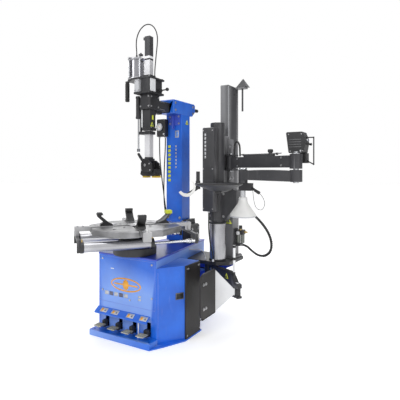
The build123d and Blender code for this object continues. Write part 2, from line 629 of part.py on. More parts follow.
def make_link():
    """Lower link, arched on top, with the rod clamp at its end."""
    z0, z1 = LINK_Z
    length = hypot(LINK_END[0] - ELBOW[0], LINK_END[1] - ELBOW[1])
    turn = degrees(atan2(LINK_END[1] - ELBOW[1], LINK_END[0] - ELBOW[0]))
    tip = ThreePointArc((length, z0 + 8), (length + 4, z0 + 40), (length, z1 - 6))
    crown = ThreePointArc((length, z1 - 6), (length / 2, z1), (0, z1 - 8))
    side = make_face(Line((0, z0), (length, z0 + 8)) + tip + crown + Line((0, z1 - 8), (0, z0)))
    body = Pos(*ELBOW, 0) * Rot(0, 0, turn) * extrude(Plane.XZ * side, 30, both=True)
    link = body + post(*ELBOW, z0, z1, 40) + post(*LINK_END, z0 - 14, z1, 32)
    return link - post(*ELBOW, 0, 3000, 18) - post(*LINK_END, 0, 3000, 19 + GAP)


def make_clamp_lever():
    """Clamp block and its lever, which lock the press rod."""
    x, y = LINK_END
    z = LINK_Z[0] - 14
    clamp = block(x - 28, x + 70, y - 22, y + 22, z - 52, z, 8) - post(x, y, 0, 3000, 19 + GAP)
    lever = bar((x + 62, y, z - 30), (x + 128, y - 30, z - 62), 8)
    return clamp + lever


def make_press_rod():
    """Vertical rod that carries the press cone."""
    foot = CONE_Z[0] + 20
    return post(*LINK_END, foot, LINK_Z[1] + 12, 19) + post(*LINK_END, foot, foot + 14, 22)


def make_cone():
    """Flared plastic press cone, free to turn on the rod."""
    z0, z1 = CONE_Z
    outline = make_face(Polyline((20, z0 + 36), (20, z1), (27, z1), (34, z1 - 40), (88, z0 + 20),
                                 (90, z0 + 6), (84, z0), (26, z0), (26, z0 + 10), (24, z0 + 18),
                                 (24, z0 + 36), close=True))
    return Pos(*LINK_END, 0) * revolve(Plane.XZ * outline, Axis.Z)


def make_control_box():
    """Hand control housing on the elbow with its wire guard and two levers."""
    z = BEAM_Z[1]
    front = [(990, z + 8), (1090, z + 8), (1100, 1312), (1098, 1346), (1082, 1389), (972, 1389)]
    box = profile(Plane.XZ.offset(-395), front, 90)
    box = fillet(box.edges().filter_by(Axis.Y), 9)
    tail = block(1058, 1100, 372, 440, 1187, z + 8, 6)
    guard = [bar((1090, 402, 1353), (1140, 402, 1353), 4), bar((1140, 402, 1357), (1140, 402, 1174), 4),
             bar((1140, 402, 1178), (1100, 402, 1200), 4)]
    levers = [bar((1092, y, 1310), (1116, y, 1310), 6) for y in (370, 430)]
    return (box + tail).fuse(*guard, *levers)


def make_lower_arm():
    """Swinging arm under the lifting disc, with the branch that carries the press shoe."""
    arm = along(LOWER_PIVOT, DISC_CENTRE, 40, CARRIAGE_SHELF + 1, 1008, 0, 22)
    hub = post(*LOWER_PIVOT, CARRIAGE_SHELF + 1, 1050, 27) - post(*LOWER_PIVOT, 0, 1021, 14.05)
    axle = post(*DISC_CENTRE, 1008, 1050, 10)
    branch = along(LOWER_PIVOT, SHOE_PIVOT, 26, 1034, 1050, 0, 13)
    arm = arm.fuse(hub, axle, branch) - post(*LOWER_PIVOT, 0, 1021, 14.05)
    return arm - post(*SHOE_PIVOT, 0, 3000, 8.05)


def make_disc():
    """Shallow dished lifting disc with a rubber lip."""
    outline = make_face(Polyline((10.5, 1012), (60, 1012), (DISC_R - 8, 1046), (DISC_R, 1050), (DISC_R, 1057),
                                 (DISC_R - 12, 1057), (56, 1020), (10.5, 1020), close=True))
    return Pos(*DISC_CENTRE, 0) * revolve(Plane.XZ * outline, Axis.Z)


def make_shoe():
    """Bead-press arm: upright grip, sloping arm and the curved plastic shoe."""
    x, y = SHOE_PIVOT
    pin = post(x, y, 1026, 1068, 8)
    grip = post(x, y, 1068, 1132, 13) + post(x, y, 1051, 1068, 16)
    head = post(x, y, 1010, 1033, 16)
    arm = bar((x, y, 1020), (x - 62, y - 38, 972), 11)
    tip = Plane(origin=(x - 70, y - 43, 1020), x_dir=(0.85, 0.52, 0), z_dir=(0.52, -0.85, 0))
    crescent = make_face(ThreePointArc((-50, -30), (-5, -62), (48, 40)) + Line((48, 40), (34, 44))
                         + ThreePointArc((34, 44), (-4, -40), (-36, -22)) + Line((-36, -22), (-50, -30)))
    return (pin + grip + head) + arm, extrude(tip * crescent, 14, both=True) - arm


def make_air_unit():
    """Filter, regulator and lubricator on the post's right side."""
    rail = block(482, 494, 590, 650, 560, 690)
    heads = block(494, 560, 596, 644, 650, 684, 6)
    bowls = [post(x, 620, 584, 650, 15) for x in (511, 545)]
    knob = post(528, 620, 684, 716, 13)
    valve = block(494, 530, 600, 640, 560, 580)
    return rail, heads, *bowls, knob, valve


# ---------------------------------------------------------------- bead breaker
def make_bead_cylinder():
    """Large double-acting cylinder across the inside of the cabinet."""
    y, z = HEEL_Y, BEAD_CYL_Z
    barrel = bar((-130, y, z), (140, y, z), 82) - bar((-118, y, z), (128, y, z), 78)
    return barrel - bar((120, y, z), (145, y, z), 14 + GAP)


def make_bead_rod():
    """Piston and rod that push the heel of the bead-breaker arm."""
    y, z = HEEL_Y, BEAD_CYL_Z
    return bar((-40, y, z), (BEAD_PIVOT[0] - 26, y, z), 14) + bar((-60, y, z), (-40, y, z), 78 - GAP)


def make_bead_arm():
    """Sleeve, tapering arm with its forked end, heel, and the upright handle rod."""
    sleeve = post(*BEAD_PIVOT, 316, 436, 30)
    length = hypot(BEAD_END[0] - BEAD_PIVOT[0], BEAD_END[1] - BEAD_PIVOT[1])
    turn = degrees(atan2(BEAD_END[1] - BEAD_PIVOT[1], BEAD_END[0] - BEAD_PIVOT[0]))
    side = [(80, 322), (0, 322), (0, 430), (175, 434), (300, 434), (length - 22, 388), (length - 10, 372),
            (length + 24, 362), (length + 24, 336), (length - 34, 336), (length - 34, 282),
            (length + 24, 282), (length + 24, 268), (length - 60, 268)]
    arm = Pos(*BEAD_PIVOT, 0) * Rot(0, 0, turn) * profile(Plane.XZ, side, 34)
    x, y = BEAD_PIVOT
    heel = block(x - 12, x + 12, y, HEEL_Y, BEAD_CYL_Z - 20, BEAD_CYL_Z + 20)
    heel += post(x, HEEL_Y, BEAD_CYL_Z - 20, BEAD_CYL_Z + 20, 22)
    pin = post(*BEAD_END, 262, 368, 9)
    body = sleeve.fuse(arm, heel) - post(*BEAD_PIVOT, 0, 500, 14) - pin
    ratio = (length - 40) / length
    hx = BEAD_PIVOT[0] + ratio * (BEAD_END[0] - BEAD_PIVOT[0])
    hy = BEAD_PIVOT[1] + ratio * (BEAD_END[1] - BEAD_PIVOT[1])
    handle = post(hx, hy, 350, 622, 9) + post(hx, hy, 520, 536, 13)
    return body + handle, pin


def make_blade():
    """Curved-corner pressing blade and its triangular web, swivelling on the arm's end pin."""
    y0, y1 = BLADE_Y
    z0, z1 = BLADE_Z
    blade = block(BLADE_X - 7, BLADE_X + 7, y0, y1, z0, z1)
    corner = blade.edges().filter_by(Axis.X).group_by(Axis.Y)[0]
    blade = fillet(corner, 55)
    length = hypot(BEAD_END[0] - BLADE_X, BEAD_END[1] - y1)
    turn = degrees(atan2(BEAD_END[1] - y1, BEAD_END[0] - BLADE_X))
    side = [(0, z0 + 4), (0, z1 - 4), (length - 30, 332), (length, 332), (length, 286), (length - 30, 286)]
    web = Pos(BLADE_X, y1, 0) * Rot(0, 0, turn) * profile(Plane.XZ, side, 9)
    boss = post(*BEAD_END, 285, 333, 20)
    return blade, (web + boss) - post(*BEAD_END, 0, 500, 9.05) - blade


# ---------------------------------------------------------------- hoses and fasteners
HEAD_HOSE = [(-105, 150, 1977), (-105, 150, 2022), (-111, 149, 2080), (-104, 151, 2138), (-74, 153, 2188),
             (-28, 156, 2216), (24, 158, 2206), (62, 160, 2164), (78, 161, 2106), (74, 161, 2046),
             (66, 161, 1986), (59, 161, 1926), (52, 161, 1864), (52, 161, 1811)]
GAUGE_HOSE_1 = [(-124, 465, 1400), (-124, 465, 1335), (-122, 467, 1225), (-114, 477, 1110), (-106, 488, 1000),
                (-100, 502, 890), (-93, 519, 790), (-87, 534, 730), (-87, 534, 670)]
GAUGE_HOSE_2 = [(-66, 465, 1400), (-66, 465, 1335), (-71, 462, 1225), (-78, 464, 1110), (-85, 470, 1000),
                (-90, 480, 890), (-90, 497, 790), (-86, 511, 730), (-86, 511, 670)]
SERVICE_HOSE = [(SERVICE_PORT_X, 500, 850), (625, 500, 850), (680, 530, 810), (725, 575, 745),
                (762, 595, 682), (784, 602, 615), (778, 606, 548), (735, 612, 505), (675, 617, 500),
                (620, 621, 530), (572, 620, 570), (530, 620, 570)]
LIFT_HOSE = [(372, 395, 840), (372, 395, 785), (374, 391, 715), (381, 389, 645), (393, 388, 580),
             (410, 392, 524), (410, 392, 470)]
AIR_LINE = [(cabinet_edge(430), 430, 532), (cabinet_edge(430) + 36, 434.9, 532), (255, 437, 540),
            (295, 430, 536), (326, 426, 508), (326, 426, 470)]


def make_port():
    """Port block on the tower's left side, where the gauge hoses end."""
    return block(-TOWER_HALF - 24, -TOWER_HALF, 498, 548, 640, 670, 4)


def make_screws():
    """Dome-headed screws of the front and flare panels."""
    screws = []
    for x, z in ((-215, 300), (215, 300), (-215, 520), (215, 520), (30, 262)):
        screws.append(bar((x, CAB_FRONT - 5, z), (x, CAB_FRONT, z), 7))
    for y in (100, 235):
        screws.append(bar((FLARE_X + 12, y, 475), (FLARE_X + 16, y, 475), 8))
    return screws


def make_top_plate():
    """Thick top plate, bored for the spindle."""
    edge = 4
    outline = [(-CAB_HALF_FRONT - edge, CAB_FRONT - edge), (CAB_HALF_FRONT + edge, CAB_FRONT - edge),
               (CAB_HALF_BACK + edge, CAB_BACK + edge), (-CAB_HALF_BACK - edge, CAB_BACK + edge)]
    return prism(outline, CAB_TOP, DECK)


def main():
    """Write every node."""
    keep("foot_plate", make_foot())
    keep("cabinet_shell", make_cabinet())
    keep("top_plate", make_top_plate())
    keep("pedal_hood", make_hood())
    keep("bead_pad", block(FLARE_X, FLARE_X + 12, FLARE_Y0 - 3, FLARE_Y1, FOOT_PLATE, FLARE_TOP - 2))
    keep("motor_drive", *make_drive())
    keep("gearbox", make_gearbox())
    keep("valve_bank", make_valves(), *make_pedal_axles())
    keep("panel_screws", *make_screws())
    for index, x in enumerate(PEDAL_X, 1):
        keep(f"pedal_{index}", *make_pedal(x))

    keep("hub_cover", make_hub_cover())
    keep("turntable_spindle", make_spindle())
    keep("star_plate", make_star())
    for index, angle in enumerate(JAW_ANGLES, 1):
        pieces = [make_slide(angle), make_jaw(angle)]
        if index == 1:
            pieces.append(make_yoke(angle, CLAMP_ROD_R + 8))
        if index == 3:
            pieces.append(make_yoke(angle, CLAMP_R))
        keep(f"jaw_{index}", *pieces)
    keep("clamp_cylinders", *make_clamp_cylinders())
    keep("clamp_rods", *make_clamp_rods())

    keep("tower_foot_bracket", *make_tower_bracket())
    keep("tower_column", make_column())
    keep("tower_head", *make_tower_head())
    keep("gauge_box", *make_gauge_box(), make_port())
    keep("horizontal_arm", make_horizontal_arm())
    keep("head_block", *make_head_block(), *make_side_grip())
    keep("lift_cylinder", *make_lift_cylinder())
    keep("shaft_guide", make_carrier(), *make_shaft_guide())
    keep("lock_lever", make_lock_lever())
    keep("tool_shaft", *make_tool_shaft())
    keep("tilt_cylinder", *make_tilt_cylinder())
    keep("tilt_rod", make_tilt_rod())
    keep("mount_head", make_mount_head(), *make_inserts())

    keep("side_bracket", *make_side_bracket())
    keep("mast", make_post(), *make_mast())
    keep("help_lift_cylinder", make_help_cylinder())
    keep("carriage", *make_carriage())
    keep("carriage_cover", make_cover())
    keep("upper_beam", *make_beam())
    keep("lower_link", make_link())
    keep("clamp_lever", make_clamp_lever())
    keep("press_rod", make_press_rod())
    keep("press_cone", make_cone())
    keep("control_box", make_control_box())
    keep("lower_arm", make_lower_arm())
    keep("lifting_disc", make_disc())
    keep("press_shoe", *make_shoe())
    keep("air_unit", *make_air_unit())

    keep("bead_cylinder", make_bead_cylinder())
    keep("bead_rod", make_bead_rod())
    keep("bead_arm", *make_bead_arm())
    keep("bead_blade", *make_blade())

    keep("head_hose", hose(HEAD_HOSE, 4))
    keep("gauge_hose_1", hose(GAUGE_HOSE_1, 4.5))
    keep("gauge_hose_2", hose(GAUGE_HOSE_2, 4.5))
    keep("service_hose", hose(SERVICE_HOSE, 8))
    keep("lift_hose", hose(LIFT_HOSE, 5))
    keep("air_line", hose(AIR_LINE, 3))


main()
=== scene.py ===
"""Looks of the tire changer: materials, rounded meshes, fittings and hoses around the CAD frame. Metres."""
import json
from math import cos, radians, sin, tau

import bmesh
import bpy
from mathutils import Matrix, Vector


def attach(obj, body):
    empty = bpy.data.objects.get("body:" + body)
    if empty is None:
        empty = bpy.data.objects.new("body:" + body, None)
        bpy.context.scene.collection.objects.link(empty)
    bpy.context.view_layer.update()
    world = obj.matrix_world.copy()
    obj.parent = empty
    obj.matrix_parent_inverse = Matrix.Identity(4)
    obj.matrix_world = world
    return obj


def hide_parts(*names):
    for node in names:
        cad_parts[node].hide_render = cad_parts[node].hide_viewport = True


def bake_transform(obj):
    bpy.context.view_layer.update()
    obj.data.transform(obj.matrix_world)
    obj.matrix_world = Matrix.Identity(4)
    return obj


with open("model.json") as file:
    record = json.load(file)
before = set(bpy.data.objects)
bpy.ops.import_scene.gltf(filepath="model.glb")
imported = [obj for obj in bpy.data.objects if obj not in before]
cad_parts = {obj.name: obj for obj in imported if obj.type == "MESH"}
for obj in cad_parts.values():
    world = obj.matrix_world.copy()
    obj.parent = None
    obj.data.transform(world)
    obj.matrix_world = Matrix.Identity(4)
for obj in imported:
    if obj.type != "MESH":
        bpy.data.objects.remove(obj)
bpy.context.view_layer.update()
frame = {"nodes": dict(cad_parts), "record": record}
NODES = frame["nodes"]
X, Y, Z = (1, 0, 0), (0, 1, 0), (0, 0, 1)
SHARP_ANGLE = 32        # degrees between two faces from which their edge is rounded
BODY_OF = {node: body for body, nodes in frame["record"]["behaviour"]["bodies"].items() for node in nodes}


# ---------------------------------------------------------------- materials
def link(tree, source, target):
    tree.links.new(source, target)


def noise_node(tree, coordinates, scale, detail=4.0, stretch=(1, 1, 1)):
    """Noise in metres of the object's own space, stretched along an axis for grain."""
    mapping = tree.nodes.new("ShaderNodeMapping")
    mapping.inputs["Scale"].default_value = stretch
    link(tree, coordinates, mapping.inputs["Vector"])
    noise = tree.nodes.new("ShaderNodeTexNoise")
    noise.inputs["Scale"].default_value = scale
    noise.inputs["Detail"].default_value = detail
    link(tree, mapping.outputs["Vector"], noise.inputs["Vector"])
    return noise.outputs["Fac"]


def remap(tree, value, low, high, to_low, to_high):
    node = tree.nodes.new("ShaderNodeMapRange")
    link(tree, value, node.inputs["Value"])
    for name, number in (("From Min", low), ("From Max", high), ("To Min", to_low), ("To Max", to_high)):
        node.inputs[name].default_value = number
    return node.outputs["Result"]


def mix_colour(tree, factor, first, second):
    node = tree.nodes.new("ShaderNodeMix")
    node.data_type = "RGBA"
    link(tree, factor, node.inputs[0])
    for socket, colour in ((node.inputs[6], first), (node.inputs[7], second)):
        if isinstance(colour, tuple):
            socket.default_value = (*colour, 1)
        else:
            link(tree, colour, socket)
    return node.outputs[2]


def material(name, dark, light, rough, metallic=0.0, patch=6.0, grain=900.0, bump=0.1, stretch=(1, 1, 1),
             coat=0.0, wear=None, spread=0.08, scuffs=0.0):
    """A surface with large colour drift, fine grain in bump and roughness, scuffs and worn edges."""
    mat = bpy.data.materials.new(name)
    mat.use_nodes = True
    tree = mat.node_tree
    shader = tree.nodes["Principled BSDF"]
    place = tree.nodes.new("ShaderNodeTexCoord").outputs["Object"]
    broad = noise_node(tree, place, patch)
    fine = noise_node(tree, place, grain, 3.0, stretch)
    colour = mix_colour(tree, remap(tree, broad, 0.3, 0.7, 0, 1), dark, light)
    if scuffs:
        streak = noise_node(tree, place, 45.0, 8.0, (1, 1, 0.25))
        amount = remap(tree, streak, 0.6, 0.78, 0, scuffs)
        colour = mix_colour(tree, amount, colour, tuple(0.35 + 0.5 * c for c in light))
    if wear:
        edge = tree.nodes.new("ShaderNodeNewGeometry").outputs["Pointiness"]
        colour = mix_colour(tree, remap(tree, edge, 0.54, 0.64, 0, 0.7), colour, wear)
    link(tree, colour, shader.inputs["Base Color"])
    link(tree, remap(tree, fine, 0.25, 0.75, rough - spread, rough + spread), shader.inputs["Roughness"])
    shader.inputs["Metallic"].default_value = metallic
    shader.inputs["Coat Weight"].default_value = coat
    shader.inputs["Coat Roughness"].default_value = 0.12
    relief = tree.nodes.new("ShaderNodeBump")
    relief.inputs["Strength"].default_value = bump
    relief.inputs["Distance"].default_value = 0.001
    link(tree, fine, relief.inputs["Height"])
    link(tree, relief.outputs["Normal"], shader.inputs["Normal"])
    return mat


BLUE = material("blue_paint", (0.006, 0.098, 0.56), (0.01, 0.15, 0.74), 0.36, grain=260, bump=0.1, coat=0.22,
                wear=(0.25, 0.42, 0.85), spread=0.05, scuffs=0.1)
BLUE_DEEP = material("deep_blue_paint", (0.01, 0.035, 0.42), (0.016, 0.055, 0.52), 0.32, grain=260, bump=0.1,
    coat=0.35, wear=(0.2, 0.3, 0.8), spread=0.05)
BLACK = material("black_paint", (0.012, 0.012, 0.014), (0.028, 0.028, 0.031), 0.42, grain=700, bump=0.22,
                 wear=(0.16, 0.16, 0.17), scuffs=0.05)
GREY = material("dark_grey_paint", (0.03, 0.03, 0.034), (0.052, 0.052, 0.056), 0.4, grain=420, bump=0.2,
                wear=(0.24, 0.24, 0.25), scuffs=0.07)
PANEL = material("black_panel", (0.01, 0.009, 0.009), (0.024, 0.021, 0.02), 0.55, grain=1100, bump=0.3)
RUBBER = material("rubber", (0.012, 0.012, 0.012), (0.026, 0.026, 0.026), 0.66, grain=1500, bump=0.25)
PLASTIC = material("black_plastic", (0.012, 0.012, 0.013), (0.024, 0.024, 0.026), 0.48, grain=2200,
    bump=0.25)
STEEL = material("ground_steel", (0.36, 0.36, 0.37), (0.56, 0.56, 0.57), 0.34, 1.0, grain=420, bump=0.12,
                 stretch=(1, 1, 14), spread=0.12)
PLATE = material("machined_plate", (0.22, 0.22, 0.225), (0.36, 0.36, 0.37), 0.4, 0.9, patch=14, grain=500,
                 bump=0.2, stretch=(1, 9, 1), wear=(0.7, 0.7, 0.7), spread=0.12)
CAST = material("cast_iron", (0.09, 0.09, 0.092), (0.16, 0.16, 0.165), 0.55, 0.6, grain=650, bump=0.5,
                wear=(0.4, 0.4, 0.4))
JAW = material("blackened_steel", (0.016, 0.016, 0.017), (0.045, 0.045, 0.047), 0.44, 0.5, grain=800,
               bump=0.35, wear=(0.45, 0.45, 0.46))
ALLOY = material("drawn_aluminium", (0.36, 0.36, 0.38), (0.52, 0.52, 0.54), 0.3, 1.0, grain=330, bump=0.06,
                 stretch=(10, 10, 0.6), spread=0.07)
BARREL = material("polished_barrel", (0.22, 0.22, 0.24), (0.34, 0.34, 0.36), 0.24, 1.0, grain=330, bump=0.06,
                  stretch=(10, 10, 0.6), spread=0.07)
CHROME = material("hard_chrome", (0.5, 0.51, 0.53), (0.66, 0.67, 0.69), 0.16, 1.0, grain=600, bump=0.03,
                  stretch=(1, 1, 8), spread=0.04)
SHAFT = material("ground_shaft", (0.62, 0.62, 0.64), (0.74, 0.74, 0.76), 0.42, 0.35, grain=420, bump=0.06,
                 stretch=(1, 1, 0.1), spread=0.06)
NYLON = material("white_nylon", (0.7, 0.7, 0.69), (0.84, 0.84, 0.82), 0.4, grain=1300, bump=0.12, scuffs=0.0)
YELLOW = material("yellow_plastic", (0.62, 0.4, 0.03), (0.8, 0.56, 0.05), 0.42, grain=1500, bump=0.15)
LIME = material("lime_label", (0.55, 0.62, 0.02), (0.68, 0.74, 0.04), 0.45, grain=900, bump=0.05)
ORANGE = material("orange_label", (0.78, 0.34, 0.03), (0.9, 0.44, 0.06), 0.38, grain=900, bump=0.05)
WHITE = material("white_enamel", (0.72, 0.73, 0.75), (0.84, 0.85, 0.86), 0.35, grain=900, bump=0.05)
PALE = material("pale_grey_paint", (0.46, 0.47, 0.49), (0.58, 0.59, 0.61), 0.4, grain=600, bump=0.15)
SLATE = material("slate_paint", (0.1, 0.1, 0.15), (0.15, 0.15, 0.21), 0.38, grain=600, bump=0.15)
TREAD = material("olive_zinc", (0.34, 0.33, 0.25), (0.52, 0.51, 0.42), 0.42, 0.8, grain=420, bump=0.3,
                 wear=(0.75, 0.74, 0.68))
BRASS = material("brass_fitting", (0.5, 0.36, 0.13), (0.66, 0.49, 0.2), 0.3, 1.0, grain=700, bump=0.08)
SMOKE = material("smoked_bowl", (0.1, 0.11, 0.1), (0.17, 0.18, 0.16), 0.16, grain=900, bump=0.03, coat=0.6)


# ---------------------------------------------------------------- rounded copies of CAD nodes
def islands(mesh):
    """Faces of each separate solid in a bmesh, with the solid's box."""
    left = set(mesh.faces)
    found = []
    while left:
        stack = [left.pop()]
        group = list(stack)
        while stack:
            face = stack.pop()
            for edge in face.edges:
                for near in edge.link_faces:
                    if near in left:
                        left.discard(near)
                        stack.append(near)
                        group.append(near)
        points = [v.co for f in group for v in f.verts]
        low = Vector([min(p[i] for p in points) for i in range(3)])
        high = Vector([max(p[i] for p in points) for i in range(3)])
        found.append((group, low, high))
    return found


def dress(node, mats, choose=None, bevel=0.0025, segments=3):
    """Stand in for a CAD node: a welded copy with rounded edges, where each solid may choose a material."""
    mats = mats if isinstance(mats, (list, tuple)) else [mats]
    mesh = bmesh.new()
    mesh.from_mesh(NODES[node].data)
    bmesh.ops.remove_doubles(mesh, verts=mesh.verts, dist=1e-5)
    bmesh.ops.dissolve_limit(mesh, angle_limit=radians(1.2), verts=mesh.verts, edges=mesh.edges)
    for group, low, high in islands(mesh):
        index = choose(low, high) if choose else 0
        for face in group:
            face.material_index = index
            face.smooth = True
    data = bpy.data.meshes.new(f"{node}_skin")
    mesh.to_mesh(data)
    mesh.free()
    piece = bpy.data.objects.new(data.name, data)
    bpy.context.scene.collection.objects.link(piece)
    for mat in mats:
        data.materials.append(mat)
    if bevel:
        add_bevel(piece, bevel, segments)
    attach(piece, BODY_OF[node])
    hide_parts(node)
    return piece


def paint_bands(piece, bands):
    """Give faces between two heights another material slot, cutting the mesh at each height."""
    mesh = bmesh.new()
    mesh.from_mesh(piece.data)
    for level in sorted({height for low, high, slot in bands for height in (low, high)}):
        bmesh.ops.bisect_plane(mesh, geom=mesh.verts[:] + mesh.edges[:] + mesh.faces[:], dist=1e-6,
            plane_co=(0, 0, level), plane_no=Z)
    for face in mesh.faces:
        height = face.calc_center_median().z
        for low, high, slot in bands:
            if low < height < high:
                face.material_index = slot
    mesh.to_mesh(piece.data)
    mesh.free()


def paint_where(piece, rule):
    """Give a face another material slot wherever the rule on its centre returns one."""
    for polygon in piece.data.polygons:
        slot = rule(polygon.center)
        if slot is not None:
            polygon.material_index = slot


def add_bevel(piece, width, segments):
    """Round the sharp edges and even out the shading."""
    rounding = piece.modifiers.new("rounding", "BEVEL")
    rounding.width = width
    rounding.segments = segments
    rounding.limit_method = "ANGLE"
    rounding.angle_limit = radians(SHARP_ANGLE)
    rounding.use_clamp_overlap = True
    rounding.harden_normals = False
    evened = piece.modifiers.new("evened", "WEIGHTED_NORMAL")
    evened.keep_sharp = False
    evened.weight = 60
    return piece


# ---------------------------------------------------------------- building blocks for added pieces
def from_bmesh(name, mesh, mat, body, bevel=0.0, segments=2):
    data = bpy.data.meshes.new(name)
    mesh.normal_update()
    mesh.to_mesh(data)
    mesh.free()
    for polygon in data.polygons:
        polygon.use_smooth = True
    piece = bpy.data.objects.new(name, data)
    bpy.context.scene.collection.objects.link(piece)
    for entry in mat if isinstance(mat, (list, tuple)) else [mat]:
        data.materials.append(entry)
    if bevel:
        add_bevel(piece, bevel, segments)
    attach(piece, body)
    return piece


def axes_for(direction):
    """A rotation whose Z axis lies along a direction."""
    return Vector(direction).normalized().to_track_quat("Z", "Y").to_matrix().to_4x4()


def facing(at, direction):
    """A place whose Z axis lies along a direction."""
    return Matrix.Translation(at) @ axes_for(direction)


def add_cylinder(mesh, start, end, radius, sides=32, end_radius=None):
    start, end = Vector(start), Vector(end)
    run = end - start
    place = facing((start + end) / 2, run)
    bmesh.ops.create_cone(mesh, cap_ends=True, segments=sides, radius1=radius, radius2=radius
        if end_radius is None else end_radius, depth=run.length, matrix=place)


def add_box(mesh, low, high, place=None):
    low, high = Vector(low), Vector(high)
    size = high - low
    scale = Matrix.Diagonal((*size, 1))
    bmesh.ops.create_cube(mesh, size=1, matrix=(place or Matrix()) @ Matrix.Translation((low + high) / 2)
        @ scale)


def add_bolt(mesh, at, direction, radius=0.007, height=0.005):
    """Hexagon head on a washer."""
    at, way = Vector(at), Vector(direction).normalized()
    add_cylinder(mesh, at, at + way * height * 0.3, radius * 1.35, sides=24)
    add_cylinder(mesh, at + way * height * 0.3, at + way * height * 1.3, radius, sides=6)


def add_socket_screw(mesh, at, direction, radius=0.006, height=0.005):
    """Cap screw with a hollow hexagon socket."""
    at, way = Vector(at), Vector(direction).normalized()
    place = facing(at, way)
    outer, inner = [], []
    for level in (0, height):
        outer.append([mesh.verts.new(place @ Vector((radius * cos(a), radius * sin(a), level)))
                     for a in [tau * k / 24 for k in range(24)]])
    for level in (height, height * 0.35):
        inner.append([mesh.verts.new(place @ Vector((radius * 0.5 * cos(a), radius * 0.5 * sin(a), level)))
                     for a in [tau * k / 24 for k in range(24)]])
    for k in range(24):
        n = (k + 1) % 24
        mesh.faces.new((outer[0][k], outer[0][n], outer[1][n], outer[1][k]))
        mesh.faces.new((outer[1][k], outer[1][n], inner[0][n], inner[0][k]))
        mesh.faces.new((inner[0][k], inner[0][n], inner[1][n], inner[1][k]))
    mesh.faces.new(inner[1])
    mesh.faces.new(list(reversed(outer[0])))


def bolts(name, spots, direction, mat, body, radius=0.007, height=0.005, socket=False):
    mesh = bmesh.new()
    for at in spots:
        (add_socket_screw if socket else add_bolt)(mesh, at, direction, radius, height)
    return from_bmesh(name, mesh, mat, body, 0.0006, 2)


def solids(name, parts, mat, body, bevel=0.0, segments=2):
    """One piece of boxes (two corners, maybe a place) and round bars (two ends, a radius, maybe sides)."""
    mesh = bmesh.new()
    for part in parts:
        if len(part) == 2 or isinstance(part[2], Matrix):
            add_box(mesh, *part)
        else:
            add_cylinder(mesh, *part)
    return from_bmesh(name, mesh, mat, body, bevel, segments)


def lathe(name, profile, place, mat, body, sides=64, bevel=0.0):
    """Turn a profile of (radius, height) points about a local Z axis."""
    mesh = bmesh.new()
    rings = []
    for radius, height in profile:
        if radius < 1e-6:
            rings.append([mesh.verts.new(place @ Vector((0, 0, height)))] * sides)
        else:
            rings.append([mesh.verts.new(place @ Vector((radius * cos(a), radius * sin(a), height)))
                         for a in [tau * k / sides for k in range(sides)]])
    for lower, upper in zip(rings, rings[1:]):
        for k in range(sides):
            n = (k + 1) % sides
            corners = list(dict.fromkeys((lower[k], lower[n], upper[n], upper[k])))
            if len(corners) > 2:
                mesh.faces.new(corners)
    bmesh.ops.recalc_face_normals(mesh, faces=mesh.faces)
    return from_bmesh(name, mesh, mat, body, bevel)


def upright(x, y, z=0.0):
    return Matrix.Translation((x, y, z))


def label(name, outline, origin, right, up, mat, body, lift=0.0006):
    """A thin flat patch on a surface, drawn in metres in the plane of right and up."""
    right, up = Vector(right).normalized(), Vector(up).normalized()
    normal = right.cross(up)
    mesh = bmesh.new()
    base = [mesh.verts.new(Vector(origin) + right * u + up * v + normal * 0.00005) for u, v in outline]
    face = mesh.faces.new(base)
    raised = bmesh.ops.extrude_face_region(mesh, geom=[face])
    moved = [e for e in raised["geom"] if isinstance(e, bmesh.types.BMVert)]
    bmesh.ops.translate(mesh, verts=moved, vec=normal * lift)
    bmesh.ops.recalc_face_normals(mesh, faces=mesh.faces)
    return from_bmesh(name, mesh, mat, body)


def ring_outline(radius_x, radius_y, width):
    """A bent strip along an ellipse."""
    steps = [tau * k / 48 for k in range(49)]
    outer = [(radius_x * cos(a), radius_y * sin(a)) for a in steps]
    inner = [((radius_x - width) * cos(a), (radius_y - width) * sin(a)) for a in reversed(steps)]
    return outer + inner


def spline_curve(name, points, radius, mat, body):
    """A round tube on a smooth NURBS line."""
    curve = bpy.data.curves.new(name, "CURVE")
    curve.dimensions = "3D"
    spline = curve.splines.new("NURBS")
    spline.points.add(len(points) - 1)
    for point, place in zip(spline.points, points):
        point.co = (*place, 1)
    spline.order_u = 3
    spline.use_endpoint_u = True
    spline.resolution_u = 12
    curve.bevel_depth = radius
    curve.bevel_resolution = 6
    curve.use_fill_caps = True
    curve.materials.append(mat)
    piece = bpy.data.objects.new(name, curve)
    bpy.context.scene.collection.objects.link(piece)
    if body:
        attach(piece, body)
    return piece


def spline_length(points):
    """Length of the smooth line and its points."""
    probe = spline_curve("probe", points, 0.0, RUBBER, None)
    mesh = bpy.data.meshes.new_from_object(probe.evaluated_get(bpy.context.evaluated_depsgraph_get()))
    path = [v.co.copy() for v in mesh.vertices]
    curve = probe.data
    bpy.data.objects.remove(probe)
    bpy.data.curves.remove(curve)
    bpy.data.meshes.remove(mesh)
    return sum((b - a).length for a, b in zip(path, path[1:])), path


# ---------------------------------------------------------------- carried-over nodes
def taller(low, high, height):
    return high.z - low.z > height


